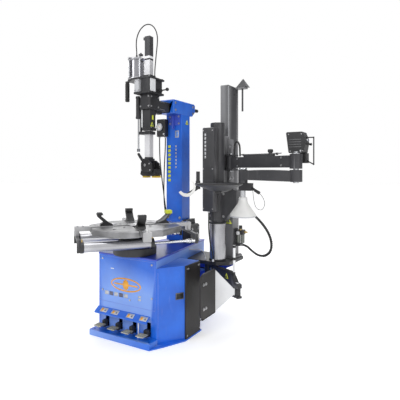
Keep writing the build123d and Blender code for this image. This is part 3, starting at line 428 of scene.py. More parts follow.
def dress_cabinet():
    dress("foot_plate", BLUE, bevel=0.003)
    dress("cabinet_shell", BLUE, bevel=0.006, segments=4)
    dress("top_plate", BLUE_DEEP, bevel=0.003)
    dress("pedal_hood", BLUE, bevel=0.0015)
    dress("bead_pad", PANEL, bevel=0.003)
    dress("panel_screws", STEEL, bevel=0.0025)
    dress("motor_drive", [CAST, RUBBER], lambda low, high: 1 if high.y - low.y > 0.38 else 0)
    dress("gearbox", CAST)
    dress("valve_bank", [PLASTIC, STEEL], lambda low, high: 0 if high.x - low.x > 0.1 else 1, bevel=0.0015)
    dress("hub_cover", BLACK, bevel=0.006, segments=4)
    for index in range(1, 5):
        dress(f"pedal_{index}", [BLACK, TREAD], lambda low, high: 0 if high.z - low.z > 0.02 else 1,
              bevel=0.002)


def dress_turntable():
    dress("turntable_spindle", CAST, bevel=0.003)
    dress("star_plate", PLATE, bevel=0.003)
    for index in range(1, 5):
        dress(f"jaw_{index}", [STEEL, JAW], lambda low, high: 1 if low.z > 0.76 or high.z < 0.706 else 0,
              bevel=0.004)
    barrels = dress("clamp_cylinders", [ALLOY, BLACK], bevel=0.003)
    way = Vector((cos(radians(50)), sin(radians(50)), 0))
    paint_where(barrels, lambda centre: 1 if not -0.3572 < centre.dot(way) < 0.0688 else None)
    dress("clamp_rods", CHROME, bevel=0.002)


def dress_tower():
    dress("tower_foot_bracket", [BLACK, STEEL], lambda low, high: 1 if high.x - low.x > 0.2 else 0,
          bevel=0.004)
    dress("tower_column", BLUE, bevel=0.004)
    dress("tower_head", [BLUE, PLASTIC], lambda low, high: 0 if high.y - low.y > 0.2 else 1, bevel=0.004)
    dress("gauge_box", [PLASTIC, STEEL], lambda low, high: 0 if taller(low, high, 0.1) else 1, bevel=0.003)
    dress("horizontal_arm", BLACK, bevel=0.004)
    dress("lock_lever", PLASTIC, bevel=0.001)
    dress("tilt_rod", CHROME, bevel=0.002)


def head_block_finish(low, high):
    """Black plates and core, a pale lock housing, a white side plate and a black grip."""
    size = high - low
    if size.x < 0.012:
        return 2
    if 0.03 < size.x < 0.06 and size.y < 0.08 and low.x > -0.1:
        return 1
    if size.z > 0.13:
        return 3
    return 0


def dress_head():
    dress("head_block", [BLACK, PALE, WHITE, RUBBER], head_block_finish, bevel=0.003)
    dress("lift_cylinder", [BARREL, STEEL], lambda low, high: 0 if taller(low, high, 0.1) else 1,
          bevel=0.002)
    dress("shaft_guide", [BLACK, WHITE], lambda low, high: 1 if high.x - low.x < 0.012 else 0, bevel=0.003)
    shaft = dress("tool_shaft", [SHAFT, GREY, WHITE, BLACK], bevel=0.002)
    paint_bands(shaft, [(1.946, 1.958, 3), (1.958, 1.976, 2), (1.976, 2.2, 1), (1.1, 1.236, 3)])
    dress("tilt_cylinder", BLACK, bevel=0.003)
    dress("mount_head", [JAW, YELLOW], lambda low, high: 0 if taller(low, high, 0.05) else 1, bevel=0.005,
          segments=4)


def shoe_finish(centre):
    """White for the curved shoe, which is left of the grip and off the sloping arm."""
    start, end = Vector((0.4, 0.19, 1.02)), Vector((0.338, 0.152, 0.972))
    way = end - start
    share = min(max((centre - start).dot(way) / way.length_squared, 0), 1)
    on_arm = (centre - (start + way * share)).length < 0.0118
    return 0 if on_arm or centre.x > 0.378 else 1


def dress_help_arm():
    dress("side_bracket", [BLACK, BLUE_DEEP], lambda low, high: 1 if high.y - low.y < 0.02 else 0,
          bevel=0.003)
    dress("mast", GREY, bevel=0.004)
    dress("help_lift_cylinder", ALLOY, bevel=0.003)
    dress("carriage", [GREY, CHROME], lambda low, high: 1 if high.x - low.x < 0.04 else 0, bevel=0.004)
    dress("carriage_cover", GREY, bevel=0.0)
    dress("upper_beam", [GREY, CHROME], lambda low, high: 1 if high.x - low.x < 0.05
          and taller(low, high, 0.1) else 0, bevel=0.005)
    dress("lower_link", GREY, bevel=0.006, segments=4)
    dress("clamp_lever", BLACK, bevel=0.003)
    dress("press_rod", CHROME, bevel=0.001)
    dress("press_cone", NYLON, bevel=0.002)
    dress("control_box", PLASTIC, bevel=0.004)
    dress("lower_arm", BLACK, bevel=0.003)
    dress("lifting_disc", [GREY], bevel=0.002)
    shoe = dress("press_shoe", [BLACK, NYLON], bevel=0.003)
    paint_where(shoe, shoe_finish)
    dress("air_unit", [BLACK, SMOKE], lambda low, high: 1 if 0.028 < high.x - low.x < 0.034 else 0,
          bevel=0.002)


def dress_bead_breaker():
    dress("bead_cylinder", ALLOY, bevel=0.003)
    dress("bead_rod", CHROME, bevel=0.002)
    arm = dress("bead_arm", [BLACK, CHROME, WHITE, RUBBER], lambda low, high: 1 if high.x - low.x < 0.03
                else 0, bevel=0.004)
    paint_bands(arm, [(0.437, 0.519, 2), (0.519, 0.537, 3), (0.537, 0.63, 2)])
    blade = dress("bead_blade", [PANEL, WHITE, BLACK], lambda low, high: 0 if high.x - low.x < 0.02 else 1,
                  bevel=0.003)
    paint_where(blade, lambda centre: 2 if (centre - Vector((0.65, 0.3, centre.z))).length < 0.026 else None)


# ---------------------------------------------------------------- hoses
HEAD_HOSE = [(-0.105, 0.15, 1.977), (-0.105, 0.15, 2.022), (-0.111, 0.149, 2.08), (-0.104, 0.151, 2.138),
             (-0.074, 0.153, 2.188), (-0.028, 0.156, 2.216), (0.024, 0.158, 2.206), (0.062, 0.16, 2.164),
             (0.078, 0.161, 2.106), (0.074, 0.161, 2.046), (0.066, 0.161, 1.986), (0.059, 0.161, 1.926),
             (0.052, 0.161, 1.864), (0.052, 0.161, 1.811)]
GAUGE_HOSE_1 = [(-0.124, 0.465, 1.4), (-0.124, 0.465, 1.335), (-0.122, 0.467, 1.225), (-0.114, 0.477, 1.11),
                (-0.106, 0.488, 1.0), (-0.1, 0.502, 0.89), (-0.093, 0.519, 0.79), (-0.087, 0.534, 0.73),
                (-0.087, 0.534, 0.67)]
GAUGE_HOSE_2 = [(-0.066, 0.465, 1.4), (-0.066, 0.465, 1.335), (-0.071, 0.462, 1.225), (-0.078, 0.464, 1.11),
                (-0.085, 0.47, 1.0), (-0.09, 0.48, 0.89), (-0.09, 0.497, 0.79), (-0.086, 0.511, 0.73),
                (-0.086, 0.511, 0.67)]
SERVICE_HOSE = [(0.575, 0.5, 0.85), (0.625, 0.5, 0.85), (0.68, 0.53, 0.81), (0.725, 0.575, 0.745),
                (0.762, 0.595, 0.682), (0.784, 0.602, 0.615), (0.778, 0.606, 0.548), (0.735, 0.612, 0.505),
                (0.675, 0.617, 0.5), (0.62, 0.621, 0.53), (0.572, 0.62, 0.57), (0.53, 0.62, 0.57)]
LIFT_HOSE = [(0.372, 0.395, 0.84), (0.372, 0.395, 0.785), (0.374, 0.391, 0.715), (0.381, 0.389, 0.645),
             (0.393, 0.388, 0.58), (0.41, 0.392, 0.524), (0.41, 0.392, 0.47)]
AIR_LINE = [(0.1793, 0.43, 0.532), (0.2153, 0.4349, 0.532), (0.255, 0.437, 0.54), (0.295, 0.43, 0.536),
            (0.326, 0.426, 0.508), (0.326, 0.426, 0.47)]


def fixed_hose(node, points, diameter, mat, body):
    """A hose whose two ends are on one body."""
    piece = spline_curve(f"{node}_tube", points, diameter / 2, mat, body)
    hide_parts(node)


def blended_tube(name, points, radius, mat, fineness=(12, 6)):
    """A tube on a smooth line, turned into a mesh."""
    source = spline_curve(f"{name}_source", points, radius, mat, None)
    source.data.resolution_u, source.data.bevel_resolution = fineness
    mesh = bpy.data.meshes.new_from_object(source.evaluated_get(bpy.context.evaluated_depsgraph_get()))
    mesh.name = name
    bpy.data.objects.remove(source)
    piece = bpy.data.objects.new(name, mesh)
    bpy.context.scene.collection.objects.link(piece)
    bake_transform(piece)
    return piece


def bridging_hose(node, points, diameter, mat):
    """A hose whose ends are on two bodies that move apart, made as one mesh tube."""
    path = spline_length(points)[1]
    piece = blended_tube(f"{node}_tube", points, diameter / 2, mat)
    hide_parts(node)


def spiral_wrap(name, points, reach, pitch, radius, thickness):
    """A plastic spiral wound round the first stretch of a bridging hose."""
    path = spline_length(points)[1]
    side = Vector(Y)
    walked = 0.0
    coils = []
    substeps = 4
    for start, end in zip(path, path[1:]):
        if walked > reach:
            break
        run = (end - start).length
        way = (end - start).normalized()
        side = (side - way * side.dot(way)).normalized()
        for step in range(substeps):
            turn = tau * (walked + run * step / substeps) / pitch
            around = side * cos(turn) + way.cross(side) * sin(turn)
            coils.append(start.lerp(end, step / substeps) + around * radius)
        walked += run
    return blended_tube(name, coils, thickness, PLASTIC,
        (2, 2))


def make_hoses():
    fixed_hose("head_hose", HEAD_HOSE, 0.008, RUBBER, "arm")
    fixed_hose("gauge_hose_1", GAUGE_HOSE_1, 0.009, RUBBER, "tower")
    fixed_hose("gauge_hose_2", GAUGE_HOSE_2, 0.009, RUBBER, "tower")
    fixed_hose("air_line", AIR_LINE, 0.006, PALE, "base")
    wrap = spiral_wrap("service_hose_wrap", SERVICE_HOSE, 0.5, 0.013, 0.0088, 0.0026)
    bridging_hose("service_hose", SERVICE_HOSE, 0.016, RUBBER)
    bridging_hose("lift_hose", LIFT_HOSE, 0.01, RUBBER)


# ---------------------------------------------------------------- floor, light, camera
def make_floor():
    mesh = bmesh.new()
    bmesh.ops.create_grid(mesh, x_segments=2, y_segments=2, size=30)
    data = bpy.data.meshes.new("floor")
    mesh.to_mesh(data)
    mesh.free()
    floor = bpy.data.objects.new("floor", data)
    bpy.context.scene.collection.objects.link(floor)
    finish = material("floor_finish", (0.86, 0.86, 0.86), (0.88, 0.88, 0.88), 0.6, grain=60, bump=0.0)
    finish.node_tree.nodes["Principled BSDF"].inputs["Emission Color"].default_value = (1, 1, 1, 1)
    finish.node_tree.nodes["Principled BSDF"].inputs["Emission Strength"].default_value = 0.3
    data.materials.append(finish)


def area_light(name, place, target, size, power):
    data = bpy.data.lights.new(name, "AREA")
    data.shape = "DISK"
    data.size = size
    data.energy = power
    lamp = bpy.data.objects.new(name, data)
    bpy.context.scene.collection.objects.link(lamp)
    lamp.location = place
    lamp.rotation_euler = (Vector(target) - Vector(place)).to_track_quat("-Z", "Y").to_euler()


def make_studio():
    make_floor()
    world = bpy.data.worlds.new("studio")
    world.use_nodes = True
    tree = world.node_tree
    across = tree.nodes.new("ShaderNodeVectorMath")
    across.operation = "DOT_PRODUCT"
    across.inputs[1].default_value = (0.866, 0.5, 0)
    link(tree, tree.nodes.new("ShaderNodeTexCoord").outputs["Generated"], across.inputs[0])
    width = tree.nodes.new("ShaderNodeMath")
    width.operation = "ABSOLUTE"
    link(tree, across.outputs["Value"], width.inputs[0])
    shade = remap(tree, width.outputs["Value"], 0.52, 0.8, 0, 1)
    colour = mix_colour(tree, shade, (1, 1, 1), (0.16, 0.16, 0.17))
    link(tree, colour, tree.nodes["Background"].inputs["Color"])
    tree.nodes["Background"].inputs["Strength"].default_value = 1.0
    bpy.context.scene.world = world
    area_light("key", (-1.2, -3.2, 3.2), (0.2, 0.2, 0.9), 1.8, 45)
    area_light("side", (3.6, -0.6, 2.4), (0.3, 0.2, 0.9), 1.4, 22)
    area_light("rear", (-1.5, 3.0, 3.0), (0.2, 0.2, 1.2), 1.8, 30)
    area_light("top", (0.3, 0.2, 4.2), (0.3, 0.2, 0.5), 2.4, 30)
    bpy.context.scene.view_settings.view_transform = "Standard"


def make_camera():
    data = bpy.data.cameras.new("photo_view")
    data.sensor_width = 36
    data.lens = 36
    data.shift_y = -0.075
    data.clip_end = 100
    camera = bpy.data.objects.new("photo_view", data)
    bpy.context.scene.collection.objects.link(camera)
    camera.location = (1.794, -2.197, 1.142)
    camera.rotation_euler = (radians(90), 0, radians(30))
    bpy.context.scene.camera = camera


# ---------------------------------------------------------------- cabinet fittings
def bar_outline(width, height):
    return [(-width / 2, -height / 2), (width / 2, -height / 2), (width / 2, height / 2),
            (-width / 2, height / 2)]


def triangle_outline(side):
    return [(-side / 2, -side * 0.43), (side / 2, -side * 0.43), (0, side * 0.43)]


def warning_mark(name, at, right, up, body, side=0.04):
    """A plain lime triangle with a plain dark triangle inside."""
    label(f"{name}_ground", triangle_outline(side), at, right, up, LIME, body)
    inner = [(u * 0.5, v * 0.5 - side * 0.05) for u, v in triangle_outline(side)]
    label(f"{name}_centre", inner, at, right, up, BLACK, body, 0.001)


def strips(name, runs, normal, mat, body, width=0.0016, lift=0.0008):
    """Thin straight beads between pairs of points on a face, as seams and panel lines."""
    mesh = bmesh.new()
    normal = Vector(normal).normalized()
    for start, end in runs:
        start, end = Vector(start), Vector(end)
        way = (end - start).normalized()
        side = way.cross(normal)
        place = Matrix.Translation((start + end) / 2) @ Matrix((side, way, normal)).transposed().to_4x4()
        half = (end - start).length / 2
        add_box(mesh, (-width / 2, -half, -lift), (width / 2, half, lift), place)
    return from_bmesh(name, mesh, mat, body)


def detail_cabinet():
    front = -0.0901
    label("badge_ring", ring_outline(0.132, 0.047, 0.01), (-0.007, front, 0.359), X, Z, ORANGE, "base")
    label("badge_bar", bar_outline(0.205, 0.01), (-0.007, front, 0.359), X, Z, ORANGE, "base")
    label("badge_disc", [(0.026 * cos(tau * k / 40), 0.034 * sin(tau * k / 40)) for k in range(40)],
          (-0.007, front, 0.359), X, Z, ORANGE, "base", 0.0009)
    for index in range(5):
        label(f"plate_bar_{index}", bar_outline(0.034, 0.026), (-0.178 + 0.043 * index, front, 0.283), X, Z,
              SLATE if index % 2 else PALE, "base")
    for index in range(2):
        label(f"small_square_{index}", bar_outline(0.024, 0.014), (0.112, front, 0.275 + 0.02 * index), X, Z,
              PALE, "base")
    label("card_slot", bar_outline(0.028, 0.006), (-0.127, front, 0.458), X, Z, WHITE, "base")
    hood_up = (0, 0.814, 0.581)
    for index, x in enumerate((-0.184, -0.083, 0.051, 0.162)):
        at = Vector((x, -0.111, 0.1652))
        label(f"pedal_sign_{index}", bar_outline(0.06, 0.034), at, X, hood_up, PALE, "base")
        label(f"pedal_sign_mark_{index}", bar_outline(0.018, 0.02), at + Vector((-0.014, 0, 0)), X, hood_up,
              ORANGE, "base", 0.001)
        label(f"pedal_sign_arrow_{index}", triangle_outline(0.018), at + Vector((0.014, 0, 0)), X, hood_up,
              SLATE, "base", 0.001)
    solids("hood_stay", [((0.128, -0.122, 0.04), (0.128, -0.122, 0.15), 0.0038),
           ((0.128, -0.122, 0.04), (0.128, -0.122, 0.044), 0.0085)], WHITE, "base")
    slope = Vector((0.115, 0.165, 0)).normalized()
    outward = Vector((slope.y, -slope.x, 0))
    inlet = Vector((0.25, -0.09, 0.302)) + slope * 0.163
    for name, size, mat, lift in (("inlet_frame", (0.058, 0.044), BLACK, 0.003),
            ("inlet_face", (0.046, 0.032), RUBBER, 0.005)):
        label(name, bar_outline(*size), inlet, slope, Z, mat, "base", lift)
    seams = [((-0.24, front, 0.222), (0.24, front, 0.222)), ((-0.24, front, 0.538), (0.24, front, 0.538)),
             ((-0.24, front, 0.222), (-0.24, front, 0.538)), ((0.24, front, 0.222), (0.24, front, 0.538))]
    strips("front_panel_seam", seams, (0, -1, 0), BLUE_DEEP, "base", 0.0022, 0.0004)
    fold = Vector((0.25, -0.0905, 0)) + slope * 0.012
    strips("side_panel_seam", [((fold.x, fold.y, 0.045), (fold.x, fold.y, 0.47))], outward, BLUE_DEEP,
           "base", 0.0022, 0.0004)
    for index, x in enumerate((-0.17, -0.05, 0.07, 0.19), 1):
        solids(f"tread_ribs_{index}", [((x - 0.026, y - 0.0012, 0.0848), (x + 0.026, y + 0.0012, 0.0863))
               for y in [-0.188 + 0.008 * step for step in range(6)]], TREAD, f"pedal_{index}", 0.0004)
        solids(f"boot_folds_{index}", [((x - 0.0142, -0.1325, z), (x + 0.0142, -0.098, z + 0.004))
               for z in [0.064 + 0.009 * step for step in range(4)]], RUBBER, f"pedal_{index}", 0.0012)
    back = 0.7411
    solids("rear_louvres", [((-0.085, back - 0.002, z), (0.085, back + 0.002, z + 0.01))
           for z in [0.2 + 0.03 * row for row in range(7)]], BLUE_DEEP, "base", 0.0015)
    spots = [(x, back, z) for x in (-0.115, 0.115) for z in (0.08, 0.3, 0.51)]
    bolts("rear_panel_screws", spots, Y, STEEL, "base", 0.006, 0.0035, True)
    lathe("power_gland", [(0.0, 0.014), (0.006, 0.014), (0.009, 0.012), (0.011, 0.006), (0.014, 0.005),
          (0.014, 0.0), (0.0, 0.0)], facing((0.07, back, 0.135), Y), PLASTIC, "base")


def detail_left_wall():
    """Louvres and a screwed service panel on the cabinet's tapering left wall."""
    start, end = Vector((-0.25, -0.09, 0)), Vector((-0.137, 0.741, 0))
    way = (start - end).normalized()
    outward = Vector(Z).cross(way) * -1
    if outward.x > 0:
        outward = -outward
    middle = start.lerp(end, 0.45) + outward * 0.0004
    right = -way if (-way).cross(Vector(Z)).dot(outward) > 0 else way
    label("service_panel", bar_outline(0.4, 0.34), middle + Vector((0, 0, 0.3)), right, Z, BLUE, "base",
          0.0016)
    for row in range(6):
        label(f"left_louvre_{row}", bar_outline(0.18, 0.01), middle + Vector((0, 0, 0.23 + 0.024 * row))
              + outward * 0.0012, right, Z, BLUE_DEEP, "base", 0.0025)
    spots = [middle + outward * 0.0016 + way * u + Vector((0, 0, z)) for u in (-0.185, 0.185)
             for z in (0.145, 0.455)]
    bolts("left_panel_screws", spots, outward, STEEL, "base", 0.006, 0.003, True)
    spots = [Vector((0.377, y, z)) for y in (0.085, 0.249) for z in (0.03, 0.476)]
    bolts("pad_screws", spots, X, STEEL, "base", 0.0055, 0.003, True)


# ---------------------------------------------------------------- turntable fittings
def polar(angle, radius, z=0.0, side=0.0):
    turn = radians(angle)
    return Vector((radius * cos(turn) - side * sin(turn), radius * sin(turn) + side * cos(turn), z))


def detail_turntable():
    top = 0.7572
    for name, first, last in (("wing_plate_right", 64, 94), ("wing_plate_left", 186, 216)):
        outline = [tuple(polar(first + (last - first) * k / 12, 0.282)[:2]) for k in range(13)]
        outline += [tuple(polar(last - (last - first) * k / 12, 0.15)[:2]) for k in range(13)]
        label(name, outline, (0, 0, top), X, Y, ALLOY, "turntable", 0.002)
    lathe("hub_cap", [(0.0, 0.0), (0.052, 0.0), (0.052, 0.004), (0.046, 0.009), (0.02, 0.012), (0.0, 0.012)],
          upright(0, 0, top), STEEL, "turntable")
    bolts("hub_bolts", [polar(angle, 0.036, top + 0.008) for angle in range(0, 360, 60)], Z, CHROME,
          "turntable", 0.005, 0.004)
    bolts("star_bolts", [polar(angle, 0.235, top) for angle in (5, 275)]
          + [polar(angle, 0.125, top) for angle in (5, 95, 185, 275)], Z, STEEL, "turntable", 0.008, 0.005,
          True)
    lathe("hub_gaiter", [(0.121, 0.64), (0.118, 0.65), (0.112, 0.655), (0.112, 0.664), (0.106, 0.668),
          (0.106, 0.678), (0.098, 0.684), (0.06, 0.69), (0.06, 0.714)], upright(0, 0), RUBBER, "base")
    bolts("hub_cover_bolts", [polar(angle, 0.136, 0.6155) for angle in range(15, 375, 45)], Z, STEEL, "base",
          0.006, 0.003)
    for index, angle in enumerate((50, 140, 230, 320), 1):
        body = f"jaw_{index}"
        turn = Matrix.Rotation(radians(angle), 4, "Z")
        rows = [(0.833 + 0.0042 * row, 0.2198 + 0.0014 * row) for row in range(5)]
        solids(f"jaw_teeth_{index}", [((-0.0012, -0.024, z), (0.0012, 0.024, z + 0.0022), turn
               @ Matrix.Translation((reach, 0, 0))) for z, reach in rows], JAW, body, 0.0006)
        bolts(f"jaw_screws_{index}", [polar(angle, radius, 0.7632, side) for radius in (0.35, 0.385)
              for side in (-0.016, 0.016)], Z, CHROME, body, 0.0055, 0.004, True)
        solids(f"slide_marks_{index}", [((0.158, low, 0.7445), (0.222, high, 0.7535), turn) for low,
               high in ((-0.0275, -0.0268), (0.0268, 0.0275))], BLACK, body)
    solids("jaw_guard_tip", [((0.218, -0.0272, 0.83), (0.2635, 0.0272, 0.855),
           Matrix.Rotation(radians(50), 4, "Z"))], LIME, "jaw_1", 0.003)
    for side, tag in ((-0.182, "near"), (0.182, "far")):
        solids(f"clamp_rims_{tag}", [(polar(50, at, 0.655, side), polar(50, at + 0.005, 0.655, side), 0.033,
               48) for at in (-0.352, 0.062)], STEEL, "jaw_3", 0.001)
        outer = side * 1.11
        solids(f"clamp_ports_{tag}", [(polar(50, at, low, side), polar(50, at, high, side), radius, sides)
               for at in (-0.369, 0.081) for low, high, radius,
               sides in ((0.686, 0.7, 0.0065, 6), (0.7, 0.707, 0.0048, 20))], BRASS, "jaw_3", 0.0006)
        run = [polar(50, -0.369, 0.706, side), polar(50, -0.352, 0.712, side), polar(50, -0.2, 0.704, outer),
               polar(50, -0.06, 0.703, outer), polar(50, 0.064, 0.712, side), polar(50, 0.081, 0.706, side)]
        spline_curve(f"clamp_tube_{tag}", run, 0.0028, PALE, "jaw_3")
        solids(f"rod_nuts_{tag}", [(polar(50, 0.334, 0.655, side), polar(50, 0.348, 0.655, side), 0.0165, 6),
               (polar(50, 0.318, 0.655, side), polar(50, 0.334, 0.655, side), 0.0135, 32)], CHROME, "jaw_1",
               0.0008)


# ---------------------------------------------------------------- tower fittings
def detail_tower():
    front = 0.4899
    for index in range(9):
        label(f"tower_bar_{index}", bar_outline(0.026, 0.022), (-0.044, front, 1.06 + 0.034 * index), X, Z,
              LIME, "tower")
    for index in range(7):
        label(f"tower_dash_{index}", bar_outline(0.011, 0.016), (0.02, front, 1.165 + 0.028 * index), X, Z,
              PALE, "tower")
    label("tower_square", bar_outline(0.036, 0.056), (0.03, front, 1.431), X, Z, PALE, "tower")
    label("tower_square_centre", bar_outline(0.024, 0.04), (0.03, front, 1.431), X, Z, BLUE, "tower", 0.0009)
    warning_mark("tower_mark", (0.0751, 0.568, 1.53), Y, Z, "tower", 0.046)
    # Deep blue plate and rib below the head: their darker blue is painted shade cast by the head on the
    # column.
    solids("head_gusset_painted_shade", [((-0.046, 0.4835, 1.5), (0.062, 0.4905, 1.585)),
           ((0.0, 0.462, 1.47), (0.008, 0.4905, 1.585))], BLUE_DEEP, "tower", 0.002)
    spots = [(x, 0.4835, z) for x in (-0.034, 0.05) for z in (1.515, 1.57)]
    bolts("gusset_bolts", spots, (0, -1, 0), STEEL, "tower", 0.006, 0.004)
    bolts("head_side_bolts", [(0.0755, y, z) for y in (0.4, 0.66) for z in (1.61, 1.665)], X, STEEL, "tower",
          0.0075, 0.005)
    bolts("head_left_bolts", [(-0.0755, y, z) for y in (0.4, 0.66) for z in (1.61, 1.665)], (-1, 0, 0),
          STEEL, "tower", 0.0075, 0.005)
    bolts("column_foot_bolts", [(x, front, z) for x in (-0.055, 0.055) for z in (0.7, 0.76)], (0, -1, 0),
          STEEL, "tower", 0.008, 0.005)
    strips("column_weld", [((x, 0.6152, 0.6), (x, 0.6152, 1.58)) for x in (-0.06, 0.06)], Y, BLUE_DEEP,
           "tower", 0.003, 0.001)
    bolts("rear_cover_screws", [(x, 0.6152, z) for x in (-0.045, 0.045) for z in (0.7, 1.1, 1.5)], Y, STEEL,
          "tower", 0.006, 0.003, True)
    dial = facing((-0.103, 0.4325, 1.488), (0, -1, 0))
    lathe("gauge_bezel", [(0.0245, 0.0), (0.0245, 0.0035), (0.0275, 0.0045), (0.0305, 0.003),
          (0.0305, -0.006)], dial, STEEL, "tower")
    lathe("gauge_face", [(0.0, 0.0012), (0.0248, 0.0012), (0.0248, 0.0)], dial, WHITE, "tower")
    ticks = bmesh.new()
    for step in range(11):
        turn = radians(225 - 27 * step)
        place = Matrix.Translation((-0.103 + 0.0205 * cos(turn), 0.4308, 1.488 + 0.0205 * sin(turn)))
        add_box(ticks, (-0.0024, -0.0004, -0.0006), (0.0024, 0.0004, 0.0006), place
                @ Matrix.Rotation(-turn, 4, "Y"))
    from_bmesh("gauge_ticks", ticks, BLACK, "tower")
    place = Matrix.Translation((-0.103, 0.4302, 1.488)) @ Matrix.Rotation(radians(-125), 4, "Y")
    solids("gauge_needle", [((-0.005, -0.0004, -0.0008), (0.017, 0.0004, 0.0008), place),
           ((-0.103, 0.431, 1.488), (-0.103, 0.4292, 1.488), 0.003, 20)], ORANGE, "tower")
    lathe("gauge_button", [(0.0, 0.006), (0.005, 0.006), (0.006, 0.004), (0.006, 0.0), (0.0, 0.0)],
          facing((-0.064, 0.4399, 1.432), (0, -1, 0)), WHITE, "tower")
    bolts("gauge_box_screws", [(x, 0.4399, z) for x in (-0.131, -0.06) for z in (1.42, 1.545)], (0, -1, 0),
          STEEL, "tower", 0.0035, 0.002, True)
    spots = [(0.15, y, z) for y in (0.522, 0.622) for z in (0.58, 0.672)]
    bolts("foot_bracket_bolts", spots, X, STEEL, "base", 0.009, 0.006)
    solids("tilt_pin_nut", [((0.1525, 0.6, 0.61), (0.16, 0.6, 0.61), 0.02, 6),
           ((0.15, 0.6, 0.61), (0.1525, 0.6, 0.61), 0.026, 40)], STEEL, "base", 0.001)
    solids("arm_rails", [*[((-0.0385, y, 1.626), (-0.041, y, 1.626), 0.009, 24) for y in (0.245, 0.294)],
           *[((0.0375, 0.24, z), (0.0395, 0.306, z + 0.004)) for z in (1.596, 1.652)]], STEEL, "arm", 0.0006)


# ---------------------------------------------------------------- head fittings
def detail_head():
    spots = [(-0.105 + 0.0605 * cos(turn), 0.15 + 0.0605 * sin(turn))
             for turn in [radians(angle + 12) for angle in (45, 135, 225, 315)]]
    rods = ((1.811, 1.972, 0.0042, 20), (1.9665, 1.9755, 0.0075, 6), (1.811, 1.818, 0.0075, 6))
    solids("lift_tie_rods", [((x, y, low), (x, y, high), radius, sides) for x, y in spots for low, high,
           radius, sides in rods], CHROME, "arm", 0.0005)
    rings = [(0.0, 0.0), (0.0645, 0.0), (0.0655, 0.002), (0.0655, 0.01), (0.064, 0.012), (0.0, 0.012)]
    lathe("lift_cap_top", rings, upright(-0.105, 0.15, 1.955), ALLOY, "arm")
    lathe("lift_cap_foot", rings, upright(-0.105, 0.15, 1.812), ALLOY, "arm")
    solids("lift_fittings", [((-0.105, 0.15, 1.976), (-0.105, 0.15, 1.988), 0.0085, 6),
           ((-0.105, 0.15, 1.988), (-0.105, 0.15, 1.998), 0.0065, 24),
           ((-0.058, 0.112, 1.9765), (-0.034, 0.136, 1.9905)),
           ((-0.046, 0.124, 1.99), (-0.046, 0.124, 1.999), 0.006, 6),
           ((0.052, 0.161, 1.811), (0.052, 0.161, 1.826), 0.0075, 6)], BLACK, "arm", 0.0008)
    gusset = bmesh.new()
    corners = [(0.1955, 1.5845), (0.262, 1.5895), (0.23, 1.542), (0.1955, 1.45)]
    base = [gusset.verts.new((-0.005, y, z)) for y, z in corners]
    face = gusset.faces.new(base)
    raised = bmesh.ops.extrude_face_region(gusset, geom=[face])
    bmesh.ops.translate(gusset, verts=[e for e in raised["geom"] if isinstance(e, bmesh.types.BMVert)],
        vec=(0.01, 0, 0))
    bmesh.ops.recalc_face_normals(gusset, faces=gusset.faces)
    from_bmesh("guide_gusset", gusset, BLACK, "arm", 0.0015)
    warning_mark("guide_mark", (0.0346, 0.152, 1.478), Y, Z, "arm", 0.042)
    label("guide_tag", bar_outline(0.02, 0.034), (0.0346, 0.16, 1.525), Y, Z, LIME, "arm")
    spots = [(x, y, 1.8112) for x in (-0.03, 0.062) for y in (0.085, 0.238)]
    bolts("head_plate_bolts", spots, Z, STEEL, "arm", 0.007, 0.005)
    bolts("lock_screws", [(x, 0.0749, z) for x in (-0.062, -0.03) for z in (1.718, 1.786)], (0, -1, 0),
          STEEL, "arm", 0.004, 0.003, True)
    bolts("carrier_screws", [(x, 0.1089, z) for x in (-0.036, 0.036) for z in (1.604, 1.674)], (0, -1, 0),
          STEEL, "arm", 0.0065, 0.004, True)
    bolts("carrier_side_screws", [(0.0481, y, z) for y in (0.125, 0.208) for z in (1.604, 1.674)], X, STEEL,
          "arm", 0.0065, 0.004, True)
    bolts("guide_screws", [(0.0346, y, z) for y in (0.14, 0.182) for z in (1.452,)], X, STEEL, "arm", 0.005,
          0.003)
    ribs = [(0.0, 1.656), (0.0125, 1.656)]
    for step in range(11):
        z = 1.66 + 0.012 * step
        ribs += [(0.0165, z), (0.0165, z + 0.008), (0.015, z + 0.009), (0.015, z + 0.011)]
    lathe("grip_sleeve", ribs + [(0.0125, 1.796), (0.0, 1.796)], upright(-0.19, 0.144), RUBBER, "arm")
    solids("tilt_cylinder_caps", [((-0.085, 0.146, z), (-0.085, 0.146, z + 0.016), 0.0212, 40)
           for z in (1.522, 1.67)], PLASTIC, "tool_shaft", 0.0015)
    solids("tilt_ports", [((-0.066, 0.146, 1.53), (-0.06, 0.146, 1.53), 0.005, 6),
           ((-0.066, 0.146, 1.678), (-0.06, 0.146, 1.678), 0.005, 6)], BRASS, "tool_shaft", 0.0005)
    solids("head_bolts", [((0, 0.1145, 1.178), (0, 0.1085, 1.178), 0.011, 6),
           ((0, 0.2075, 1.178), (0, 0.2135, 1.178), 0.011, 6),
           *[((x, 0.111, z), (x, 0.1075, z), 0.006, 6) for x,
           z in ((-0.03, 1.14), (0.048, 1.142), (0.04, 1.188))]], STEEL, "mount_head", 0.0006)


